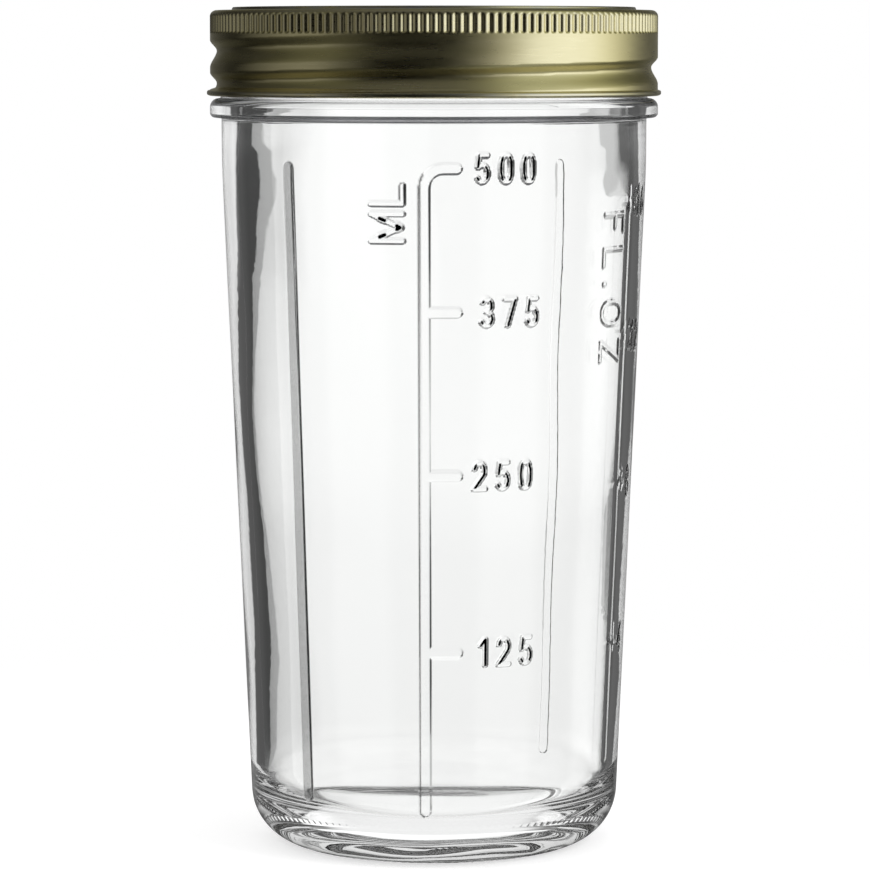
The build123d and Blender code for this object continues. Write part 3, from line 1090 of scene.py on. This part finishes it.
def flute_share(band, angle, radius, height):
    """Share of the flutes' depth: a power of a raised cosine of the angle times their number.

    Smooth steps of the height end it at the wall and at the top of the shoulder.
    """
    ridge = 0.5 + 0.5 * np.cos(band.flutes * angle)
    zone = smooth(159.7 * MM, 160.2 * MM, height) * (1 - smooth(163.0 * MM, 163.9 * MM, height))
    inner_edge = 43.75 * MM - (height > 163 * MM) * 0.6 * MM
    return np.where(radius > inner_edge, ridge**1.5 * zone, 0.0)


def band_shape(band, outline):
    """Functions of angle and arc length for the band: its skin, where its grid gets finer, and its rub.

    The skin is the outline, pulled in by the groove and, outside only, by the flutes. The rub grows at the
    curled edge, the hem and the crests between the flutes, and is far above 1 on the bare inside.
    """

    def shape(angle, arc):
        radius, height, out, _ = outline_at(outline, arc)
        groove = groove_pull(band, angle, radius, height)
        flute = np.where(out > -0.2, flute_share(band, angle, radius, height), 0.0)
        return around(radius - groove - flute * band.flute_depth, height, angle)

    def wanted(level, angle, arc):
        radius, height, out, _ = outline_at(outline, arc)
        return (out > -0.2) & (radius > 42.9 * MM) & between(height, FLUTE_ZONE)

    def rub(angle, arc):
        radius, height, out, _ = outline_at(outline, arc)
        edge = smooth(44.3 * MM, 44.62 * MM, radius)
        edge += 0.8 * smooth(HEM_TOP * MM - 0.3 * MM, HEM_TOP * MM, height)
        edge += 1.5 * smooth(164.2 * MM, 164.34 * MM, height)
        flute = flute_share(band, angle, radius, height)
        crest = 0.25 * (1 - flute) * smooth(160.0 * MM, 160.6 * MM, height) * (height < 164 * MM)
        return np.where(out > -0.5, np.clip(0.6 * edge + crest, 0.0, 1.0), 5.0)

    return shape, wanted, rub


class JAR_OT_band(bpy.types.Operator):
    """Build the rolled screw band with its hem, fluted shoulder, thread groove and curled edge"""

    bl_idname = "starter_jar.band"
    bl_label = "Screw Band"

    def execute(self, context):
        band = context.scene.jar_band
        outline = band_outline()
        shape, wanted, rub = band_shape(band, outline)
        piece, angle, arc = turned_surface("band_shell", outline, band.flutes, shape, wanted, 3, closed=True)
        store(piece, "rub", rub(angle, arc))
        piece.data.materials.append(
            satin_metal_material("gold_lacquered_tinplate", band.lacquer, band.bare_tin, band.roughness)
        )
        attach(piece, "band")
        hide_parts("screw_band")
        return {"FINISHED"}


def disc_outline():
    """Closed section of the disc in mm: over the pressed top from the axis, round the edge, back below."""
    inner, drop, slope = 38.4, 0.8, 0.6
    ring_out, ring_in, rise = 31.8, 30.2, 0.5
    panel = DISC_TOP - drop
    lower = panel - SHEET
    skirt = DISC_RADIUS - SHEET
    top = [
        (0.0, panel, 0, 3.0),
        (ring_in - rise, panel, 0.35, 1.0),
        (ring_in, panel + rise, 0.35, 0.6),
        (ring_out, panel + rise, 0.35, 0.6),
        (ring_out + rise, panel, 0.35, 1.5),
        (inner - slope, panel, 0.35, 0.6),
        (inner, DISC_TOP, 0.35, 1.0),
        (DISC_RADIUS, DISC_TOP, 0.45, 0.6),
        (DISC_RADIUS, DISC_TOP - drop, 0.1, 0.3),
        (skirt, DISC_TOP - drop, 0.1, 0.5),
        (skirt, DISC_LOW, 0.15, 1.0),
        (inner, DISC_LOW, 0.35, 0.6),
        (inner - slope, lower, 0.35, 1.5),
        (ring_out + rise, lower, 0.35, 0.6),
        (ring_out, lower + rise, 0.35, 0.6),
        (ring_in, lower + rise, 0.35, 0.6),
        (ring_in - rise, lower, 0.35, 3.0),
        (0.0, lower, 0, 3.0),
    ]
    return rounded_outline(top[::-1], closed=False)


def disc_shape(disc, outline):
    """Functions of angle and arc length for the disc: its skin and its rub.

    The panel sags by the size of a cosine of twice the angle, from nothing in the middle and at the edge.
    The rub grows at the edge, and by a bell curve on the pressed ring.
    """

    def shape(angle, arc):
        radius, height, _, _ = outline_at(outline, arc)
        dish = disc.dish * np.cos(2 * angle + 0.7) * smooth(2 * MM, 30 * MM, radius)
        return around(radius, height - np.abs(dish) * smooth(37 * MM, 33 * MM, radius), angle)

    def rub(angle, arc):
        radius, _, _, _ = outline_at(outline, arc)
        ring = np.exp(-(((radius - 31 * MM) / MM) ** 2))
        return 0.7 * smooth(42.5 * MM, DISC_RADIUS * MM, radius) + 0.3 * ring

    return shape, rub


class JAR_OT_lid(bpy.types.Operator):
    """Build the pressed lid disc"""

    bl_idname = "starter_jar.lid"
    bl_label = "Lid Disc"

    def execute(self, context):
        disc = context.scene.jar_disc
        outline = disc_outline()
        shape, rub = disc_shape(disc, outline)
        piece, angle, arc = turned_surface("lid_panel", outline, 256, shape)
        store(piece, "rub", rub(angle, arc))
        piece.data.materials.append(
            satin_metal_material("gold_disc_tinplate", disc.lacquer, disc.bare_tin, disc.roughness)
        )
        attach(piece, "lid")
        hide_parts("lid_disc")
        return {"FINISHED"}


def seal_outline():
    """Closed section of the seal in mm, a cushion with rounded lower edges."""
    centre = (BORE_RADIUS + NECK_RADIUS) / 2
    return rounded_outline(
        [
            (centre - 1.4, SEAL_LOW, 0.4, 0.5),
            (centre + 1.4, SEAL_LOW, 0.4, 0.5),
            (centre + 1.4, DISC_LOW, 0.1, 0.5),
            (centre - 1.4, DISC_LOW, 0.1, 0.5),
        ],
        closed=True,
    )


class JAR_OT_seal(bpy.types.Operator):
    """Build the seal cast under the edge of the lid disc"""

    bl_idname = "starter_jar.seal"
    bl_label = "Seal"

    def execute(self, context):
        outline = seal_outline()

        def shape(angle, arc):
            radius, height, _, _ = outline_at(outline, arc)
            return around(radius, height, angle)

        seal, _, _ = turned_surface("seal_cushion", outline, 192, shape, closed=True)
        seal.data.materials.append(seal_material(context.scene.jar_seal))
        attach(seal, "lid")
        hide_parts("seal_ring")
        return {"FINISHED"}


# Stage

# Lowest and highest ray of the tables, as the upright part of a ray's direction
LOW_RAY, HIGH_RAY = -0.26, 0.10
# Largest angle in degrees and largest tone that the tables can hold, as a colour ramp holds values up to 1
WIDEST_EDGE = 80.0
BRIGHTEST = 4.0

# Tones and edges of the backdrop as (height of the ray, tone) and (height of the ray, degrees from behind)
LEFT_MIDDLE = ((-0.17, 1.03), (-0.15, 1.05), (-0.12, 1.08), (-0.10, 1.13), (-0.06, 1.17), (0.0, 1.17))
LEFT_LIGHT = (
    (-0.20, 0.90), (-0.16, 0.86), (-0.14, 0.87), (-0.12, 0.93), (-0.11, 1.04), (-0.095, 1.10),
    (-0.073, 1.02), (-0.06, 0.98), (-0.055, 0.90), (-0.045, 0.85), (-0.01, 0.91), (0.015, 0.88), (0.03, 0.98),
)
LEFT_GREY_EDGE = (
    (-0.20, 13.5), (-0.16, 12.4), (-0.152, 11.2), (-0.14, 12.3), (-0.125, 13.0), (-0.11, 16.4),
    (-0.095, 17.4), (-0.085, 16.6), (-0.073, 14.2), (-0.06, 12.6), (-0.055, 11.5), (-0.045, 10.2),
    (-0.035, 8.1), (-0.01, 8.0), (0.0, 8.8), (0.015, 9.1), (0.03, 10.8),
)
LEFT_DARK_EDGE = (
    (-0.20, 19.0), (-0.163, 17.4), (-0.15, 14.7), (-0.14, 15.0), (-0.125, 15.6), (-0.11, 18.4),
    (-0.095, 19.5), (-0.085, 18.3), (-0.073, 17.6), (-0.06, 16.6), (-0.055, 14.4), (-0.045, 13.0),
    (-0.035, 11.6), (-0.01, 11.5), (0.0, 11.6), (0.015, 12.0), (0.03, 14.5),
)
RIGHT_MIDDLE = ((-0.17, 1.03), (-0.15, 1.05), (-0.12, 1.07), (-0.10, 1.14))
RIGHT_LIGHT = (
    (-0.20, 1.27), (-0.155, 1.20), (-0.14, 1.19), (-0.12, 1.15), (-0.11, 1.24), (-0.095, 1.30),
    (-0.073, 1.37), (-0.055, 1.34), (-0.045, 1.26), (-0.01, 1.16), (0.005, 1.0),
)
RIGHT_GREY_EDGE = (
    (-0.15, 40), (-0.145, 16.4), (-0.12, 16.2), (-0.115, 40), (-0.044, 40), (-0.036, 11.4),
    (-0.01, 10.1), (0.0, 11.0), (0.02, 10.8), (0.03, 9.2),
)
RIGHT_FAR_EDGE = (
    (-0.25, 40), (-0.16, 40), (-0.145, 18.5), (-0.11, 40), (-0.044, 40), (-0.036, 12.2),
    (-0.01, 16.6), (0.03, 16.4),
)

# Edges for rays that were mirrored inside the glass
LEFT_INNER_EDGE = (
    (-0.24, 29), (-0.19, 24.5), (-0.18, 25), (-0.17, 27), (-0.155, 32.5), (-0.14, 31.6), (-0.13, 29.6),
    (-0.11, 27.4), (-0.092, 27), (-0.085, 25.2), (-0.078, 26.5), (-0.07, 34), (-0.05, 37), (0.02, 38),
)
RIGHT_INNER_EDGE = (
    (-0.19, 15.5), (-0.175, 17.5), (-0.16, 14.2), (-0.142, 23.5), (-0.13, 20.5), (-0.115, 18), (-0.09, 10),
    (-0.08, 10), (-0.07, 12), (-0.06, 16.5), (-0.02, 20), (0.0, 23), (0.02, 23.5),
)
RIGHT_FAR_INNER_EDGE = (
    (-0.18, 47), (-0.15, 54), (-0.13, 46), (-0.12, 43), (-0.05, 44), (-0.02, 52), (0.0, 58),
)

# Ring that the metal mirrors, as (degrees from the front, tone): the left, the softbox and the right
METAL_LEFT = (
    (-180, 0.3), (-150, 0.08), (-122, 0.0), (-98, 0.12), (-80, 0.25), (-62, 0.28), (-46, 0.10), (-30, 0.0),
    (10, 0.0), (24, 0.14), (38, 0.6),
)
METAL_SOFTBOX = (
    (52, (1.04, 1.08, 1.26)), (84, (1.04, 1.08, 1.26)), (98, (0.84, 0.85, 0.80)), (112, (0.48, 0.48, 0.40)),
)
METAL_RIGHT = ((128, 0.13), (150, 0.08), (180, 0.3))

# Sheen of the outside of the glass, as (degrees from behind, tone)
HIGH_GLINT = ((0, 0.24), (18, 0.36), (28, 0.42), (35, 0.62), (40, 0.8), (43, 0.5), (46, 0.01))
LOW_GLINT = ((0, 0.22), (14, 0.24), (20, 0.34), (28, 0.27), (36, 0.13), (42, 0.05), (50, 0.01))
RIGHT_GLINT = ((0, 0.22), (16, 0.22), (26, 0.04), (50, 0.01))


class Rays(NamedTuple):
    """Tree of the world and what its light depends on: where a ray goes and how it came to go there.

    Paths are the outputs of the Light Path node. Behind is the ray's angle in degrees from straight behind
    the jar, positive to the right, and swing its size. Level runs from 0 at the lowest ray of the tables to 1
    at the highest, and tilt from 0 straight down to 1 straight up. Mirrored holds after a reflection.
    """

    tree: bpy.types.NodeTree
    paths: object
    direction: bpy.types.NodeSocket
    x: bpy.types.NodeSocket
    y: bpy.types.NodeSocket
    z: bpy.types.NodeSocket
    behind: bpy.types.NodeSocket
    swing: bpy.types.NodeSocket
    level: bpy.types.NodeSocket
    tilt: bpy.types.NodeSocket
    on_left: bpy.types.NodeSocket
    mirrored: bpy.types.NodeSocket


def angle_node(tree, x, y):
    """Angle in degrees of a direction from its y axis towards its x axis."""
    return math_node(tree, "MULTIPLY", math_node(tree, "ARCTAN2", x, y), 180 / math.pi)


def ray_values(tree):
    """Rays of a world's tree."""
    paths = tree.nodes.new("ShaderNodeLightPath").outputs
    direction = tree.nodes.new("ShaderNodeTexCoord").outputs["Generated"]
    x, y, z = place(tree, "ShaderNodeSeparateXYZ", {0: direction}).outputs
    behind = angle_node(tree, x, y)
    span = HIGH_RAY - LOW_RAY
    return Rays(
        tree=tree,
        paths=paths,
        direction=direction,
        x=x,
        y=y,
        z=z,
        behind=behind,
        swing=math_node(tree, "ABSOLUTE", behind),
        level=math_node(tree, "MULTIPLY_ADD", z, 1 / span, -LOW_RAY / span),
        tilt=math_node(tree, "MULTIPLY_ADD", z, 0.5, 0.5),
        on_left=math_node(tree, "LESS_THAN", behind, 0.0),
        mirrored=math_node(tree, "GREATER_THAN", paths["Glossy Depth"], 0.5),
    )


def by_height(rays, knots, scale=1.0):
    """Value that follows the height of the ray, from (height, value) knots, divided by a scale."""
    span = HIGH_RAY - LOW_RAY
    stops = [((height - LOW_RAY) / span, value / scale) for height, value in knots]
    return ramp(rays.tree, rays.level, stops)


def by_swing(rays, knots):
    """Tone that follows the angle from straight behind, from (degrees, tone) knots."""
    turned = math_node(rays.tree, "MULTIPLY", rays.swing, 1 / 180)
    return ramp(rays.tree, turned, [(degrees / 180, tone) for degrees, tone in knots])


def edges(rays, start, steps):
    """Tones that change one after the other as the angle from straight behind grows.

    Each step is (softness in degrees, tone, edge), where the edge lists (height of the ray, angle).
    """
    tones = start
    for softness, tone, knots in steps:
        line = math_node(rays.tree, "MULTIPLY", by_height(rays, knots, WIDEST_EDGE), WIDEST_EDGE)
        past = math_node(rays.tree, "SUBTRACT", rays.swing, line)
        mask = math_node(rays.tree, "MULTIPLY_ADD", past, 1 / softness, 0.5)
        mask.node.use_clamp = True
        tones = mix_colour(rays.tree, mask, tones, tone)
    return tones


def seen_straight(rays, stage):
    """Backdrop for rays that go straight through the glass: light in the middle, then grey, then dark.

    Further than 32 degrees from behind it is a ring of flags, one every 45 degrees, for the other views.
    """
    tree, dark = rays.tree, stage.flag_tone
    left_steps = (
        (2.6, by_height(rays, LEFT_LIGHT), ((-0.25, 6.4), (0.03, 6.0))),
        (0.6, 0.54, LEFT_GREY_EDGE),
        (0.6, dark, LEFT_DARK_EDGE),
    )
    left = edges(rays, by_height(rays, LEFT_MIDDLE), left_steps)
    far = by_height(rays, ((-0.10, 0.85), (-0.03, 0.95), (-0.005, 0.85), (0.008, 2.6 * dark)))
    right_steps = (
        (5.0, by_height(rays, RIGHT_LIGHT), ((-0.25, 8.6), (0.03, 8.6))),
        (0.6, 0.68, RIGHT_GREY_EDGE),
        (1.6, far, RIGHT_FAR_EDGE),
    )
    right = edges(rays, by_height(rays, RIGHT_MIDDLE), right_steps)
    turned = math_node(tree, "SUBTRACT", math_node(tree, "FLOORED_MODULO", rays.behind, 45.0), 22.5)
    off_flag = math_node(tree, "MULTIPLY", math_node(tree, "ABSOLUTE", turned), 1 / 22.5)
    soft, bright = stage.side_flag_tone, 1.1 * stage.backdrop_light
    ring = ((0.0, soft), (0.44, soft), (0.48, 0.55), (0.60, 0.62), (0.64, 0.9), (0.82, 1.0), (0.86, bright))
    near = math_node(tree, "LESS_THAN", rays.swing, 32.0)
    return mix_colour(tree, near, ramp(tree, off_flag, ring), mix_colour(tree, rays.on_left, right, left))


def seen_inside(rays, stage):
    """Backdrop for rays that were mirrored inside the glass: wider edges, and flags at the sides."""
    tree, dark, lit = rays.tree, stage.flag_tone, stage.backdrop_light
    left_steps = (
        (8.0, 0.93, ((-0.25, 24), (0.05, 22))),
        (2.6, 1.6 * dark, LEFT_INNER_EDGE),
        (6.0, 0.5 * dark, ((-0.25, 48), (0.05, 48))),
    )
    right_steps = (
        (2.0, 2.6 * dark, RIGHT_INNER_EDGE),
        (4.0, 1.7 * dark, ((-0.25, 33), (0.05, 33))),
        (4.0, 1.05 * lit, RIGHT_FAR_INNER_EDGE),
    )
    left = edges(rays, 1.2 * lit, left_steps)
    right = edges(rays, 1.1 * lit, right_steps)
    sides = by_swing(rays, ((78, 1.0), (84, dark), (112, dark), (118, 0.8), (150, 0.8), (156, dark)))
    near = math_node(tree, "LESS_THAN", rays.swing, 76.0)
    return mix_colour(tree, near, sides, mix_colour(tree, rays.on_left, right, left))


def through_glass(rays, stage):
    """Light for rays that come through the glass, with its own tones steeply below and above."""
    tree, dark = rays.tree, stage.flag_tone
    seen = mix_colour(tree, rays.mirrored, seen_straight(rays, stage), seen_inside(rays, stage))
    seen = vector_math(tree, "MAXIMUM", {0: seen, 1: fade(tree, rays.z, -0.26, -0.36, stage.low_flag_tone)})
    twice = math_node(tree, "GREATER_THAN", rays.paths["Glossy Depth"], 1.5)
    deep = math_node(tree, "GREATER_THAN", rays.paths["Transmission Depth"], 2.5)
    strays = math_node(tree, "MAXIMUM", twice, math_node(tree, "MULTIPLY", rays.mirrored, deep))
    stray_tones = ((0.25, 0.5), (0.34, 0.4), (0.375, 1.5 * dark), (0.53, 1.5 * dark), (0.57, 0.5), (1.0, 0.6))
    seen = mix_colour(tree, strays, seen, ramp(tree, rays.tilt, stray_tones))
    seen = mix_colour(tree, fade(tree, rays.z, -0.5, -0.75), seen, 0.95)
    overhead = ramp(tree, rays.z, ((0.24, 0.6), (0.42, 0.5), (0.50, 0.24), (0.60, 0.30), (1.0, 0.34)))
    heel_light = ramp(tree, noise(tree, rays.direction, 2.2, 1.0), ((0.38, 0.16), (0.62, 0.8)))
    heel_light = mix_colour(tree, math_node(tree, "GREATER_THAN", rays.y, 0.1), heel_light, 0.85)
    overhead = mix_colour(tree, rays.mirrored, overhead, heel_light)
    return mix_colour(tree, fade(tree, rays.z, 0.16, 0.26), seen, overhead)


def metal_tones(rays, stage):
    """Light that the metal mirrors: a ring with a softbox, darker and warmer above and below, and a sky."""
    tree = rays.tree
    front = angle_node(tree, rays.x, math_node(tree, "MULTIPLY", rays.y, -1.0))
    front = math_node(tree, "MULTIPLY_ADD", front, 1 / 360, 0.5)
    softbox = [(degrees, tuple(stage.softbox * part for part in tone)) for degrees, tone in METAL_SOFTBOX]
    ring = [(degrees, np.broadcast_to(tone, 3)) for degrees, tone in (*METAL_LEFT, *softbox, *METAL_RIGHT)]
    stops = [(degrees / 360 + 0.5, tuple(tone / BRIGHTEST)) for degrees, tone in ring]
    ring = vector_math(tree, "SCALE", {0: ramp(tree, front, stops, "EASE"), "Scale": BRIGHTEST})
    warmth = (
        (0.0, (0.2, 0.2, 0.15)),
        (0.22, (0.3, 0.3, 0.24)),
        (0.36, (0.7, 0.7, 0.62)),
        (0.45, 1.0),
        (0.58, 1.0),
        (0.62, (0.66, 0.66, 0.56)),
        (0.72, (0.50, 0.50, 0.38)),
        (0.88, (0.42, 0.42, 0.30)),
        (1.0, (0.12, 0.12, 0.10)),
    )
    toned = mix_colour(tree, 1.0, ring, ramp(tree, rays.tilt, warmth), "MULTIPLY")
    sky = ((0.0, 0.0), (0.55, 0.0), (0.66, 0.02), (0.78, 0.04), (0.92, 0.10), (1.0, 0.14))
    return vector_math(tree, "MAXIMUM", {0: toned, 1: ramp(tree, rays.tilt, sky)})


def glint_tones(rays):
    """Light that the outside of the glass mirrors from behind the jar, dimmer above and below."""
    tree = rays.tree
    rising = by_height(rays, ((-0.088, 0.0), (-0.078, 1.0)))
    grazed = mix_colour(tree, rising, by_swing(rays, LOW_GLINT), by_swing(rays, HIGH_GLINT))
    grazed = mix_colour(tree, rays.on_left, by_swing(rays, RIGHT_GLINT), grazed)
    upright = ramp(tree, rays.tilt, ((0.30, 0.15), (0.38, 0.4), (0.42, 1.0), (0.53, 1.0), (0.60, 0.15)))
    return vector_math(tree, "SCALE", {0: grazed, "Scale": upright})


def backdrop_world(stage):
    """World light: white to the camera, flags through glass, softboxes in metal, even for the rest."""
    world = bpy.data.worlds.new("studio")
    bpy.context.scene.world = world
    world.use_nodes = True
    world.cycles.sampling_method = "NONE"
    tree = world.node_tree
    tree.nodes.clear()
    rays = ray_values(tree)
    mirrored = mix_colour(tree, rays.paths["Is Singular Ray"], metal_tones(rays, stage), glint_tones(rays))
    glow = mix_colour(tree, rays.paths["Is Glossy Ray"], 0.78, mirrored)
    glow = mix_colour(tree, rays.paths["Is Transmission Ray"], glow, through_glass(rays, stage))
    glow = mix_colour(tree, rays.paths["Is Camera Ray"], glow, 1.0)
    background = place(tree, "ShaderNodeBackground", {"Color": glow})
    place(tree, "ShaderNodeOutputWorld", {"Surface": background.outputs[0]})


def floor_material(stage):
    """Pale floor that keeps the shadow near the jar and fades into the backdrop further out.

    It glows for all but diffuse rays, and in patches under the jar for rays through the glass.
    """
    material = bpy.data.materials.new("pale_floor")
    material.use_nodes = True
    tree = material.node_tree
    tree.nodes.clear()
    paths = tree.nodes.new("ShaderNodeLightPath").outputs
    coordinates = tree.nodes.new("ShaderNodeTexCoord").outputs["Object"]
    reach = place(tree, "ShaderNodeVectorMath", {0: coordinates}, operation="LENGTH").outputs["Value"]
    under = math_node(tree, "MULTIPLY", fade(tree, reach, 0.034, 0.024), paths["Is Transmission Ray"])
    patches = ramp(tree, noise(tree, coordinates, 55.0, 1.0), ((0.35, 0.22), (0.65, 0.62)))
    caught = math_node(tree, "MULTIPLY", patches, under)
    others = math_node(tree, "SUBTRACT", 1.0, paths["Is Diffuse Ray"])
    seen = math_node(tree, "MULTIPLY", others, stage.floor_glow)
    strength = math_node(tree, "ADD", seen, caught)
    glow = place(tree, "ShaderNodeEmission", {"Color": (1.0, 1.0, 1.0, 1.0), "Strength": strength})
    shaded = tuple(0.68 * value for value in stage.floor)
    dull = place(tree, "ShaderNodeBsdfDiffuse", {"Color": (*shaded, 1.0)})
    both = place(tree, "ShaderNodeAddShader", {0: dull.outputs[0], 1: glow.outputs[0]})
    clear = tree.nodes.new("ShaderNodeBsdfTransparent")
    far = fade(tree, reach, stage.floor_reach * 0.3, stage.floor_reach)
    hidden = math_node(tree, "MAXIMUM", far, paths["Is Glossy Ray"])
    mix = place(tree, "ShaderNodeMixShader", {0: hidden, 1: both.outputs[0], 2: clear.outputs[0]})
    place(tree, "ShaderNodeOutputMaterial", {"Surface": mix.outputs[0]})
    return material


class JAR_OT_stage(bpy.types.Operator):
    """Set up the floor, the studio light and the camera"""

    bl_idname = "starter_jar.stage"
    bl_label = "Stage"

    def execute(self, context):
        stage = context.scene.jar_stage
        scene = context.scene
        scene.view_settings.view_transform = "Standard"
        scene.cycles.max_bounces = LIGHT_BOUNCES
        scene.cycles.transmission_bounces = LIGHT_BOUNCES
        scene.cycles.glossy_bounces = LIGHT_BOUNCES
        angle = np.linspace(0, TURN, FLOOR_CORNERS + 1)[:-1]
        ring = np.stack([np.cos(angle), np.sin(angle), 0 * angle], axis=1) * stage.floor_reach * 1.02
        points = np.vstack([[[0.0, 0.0, 0.0]], ring])
        i = np.arange(FLOOR_CORNERS)
        triangles = np.stack([0 * i, 1 + i, 1 + (i + 1) % FLOOR_CORNERS], axis=1)
        floor = put_mesh("floor", points, triangles)
        floor.location.z = -FLOOR_DROP * MM
        floor.data.materials.append(floor_material(stage))
        floor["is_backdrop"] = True
        backdrop_world(stage)
        for name, location, size, power in SOFTBOXES:
            light = bpy.data.lights.new(name, "AREA")
            light.size, light.energy = size, power
            lamp = bpy.data.objects.new(name, light)
            scene.collection.objects.link(lamp)
            lamp.location = location
            aim = -lamp.location
            aim.z += SOFTBOX_AIM_HEIGHT
            lamp.rotation_euler = aim.to_track_quat("-Z", "Y").to_euler()
            lamp.visible_glossy = lamp.visible_transmission = lamp.visible_camera = False
        camera = bpy.data.cameras.new("camera")
        camera.lens = stage.lens
        camera.sensor_width = 36.0
        camera.clip_start, camera.clip_end = 0.01, 20.0
        view = bpy.data.objects.new("camera", camera)
        scene.collection.objects.link(view)
        view.location = CAMERA_PLACE
        view.rotation_euler = (math.radians(CAMERA_TILT), 0.0, 0.0)
        scene.camera = view
        return {"FINISHED"}


class JAR_PT_sidebar(bpy.types.Panel):
    """Lists the pieces of the jar and what can be changed on them"""

    bl_label = "Starter Jar"
    bl_idname = "JAR_PT_sidebar"
    bl_space_type = "VIEW_3D"
    bl_region_type = "UI"
    bl_category = "Starter Jar"

    def draw(self, context):
        layout = self.layout
        for step, settings in STEPS:
            box = layout.box()
            box.operator(step.bl_idname)
            group = getattr(context.scene, settings)
            for name in group.__annotations__:
                box.prop(group, name)


STEPS = (
    (JAR_OT_stage, "jar_stage"),
    (JAR_OT_glass, "jar_glass"),
    (JAR_OT_lid, "jar_disc"),
    (JAR_OT_seal, "jar_seal"),
    (JAR_OT_band, "jar_band"),
)
GROUPS = {
    "jar_glass": JarGlassSettings,
    "jar_band": JarBandSettings,
    "jar_disc": JarDiscSettings,
    "jar_seal": JarSealSettings,
    "jar_stage": JarStageSettings,
}
CLASSES = (*GROUPS.values(), *(step for step, _ in STEPS), JAR_PT_sidebar)


def register():
    """Register the classes and hang the settings on the scene."""
    for item in CLASSES:
        bpy.utils.register_class(item)
    for name, group in GROUPS.items():
        setattr(bpy.types.Scene, name, bpy.props.PointerProperty(type=group))


def unregister():
    """Remove the settings and the classes."""
    for name in GROUPS:
        delattr(bpy.types.Scene, name)
    for item in reversed(CLASSES):
        bpy.utils.unregister_class(item)


def main():
    register()
    bpy.ops.starter_jar.stage()
    bpy.ops.starter_jar.glass()
    bpy.ops.starter_jar.lid()
    bpy.ops.starter_jar.seal()
    bpy.ops.starter_jar.band()
    boxes = {"cad": CAD_BOUNDS, "visual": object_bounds()}
    plain = {name: [list(map(float, corner)) for corner in box] for name, box in boxes.items()}


if __name__ == "__main__":
    main()
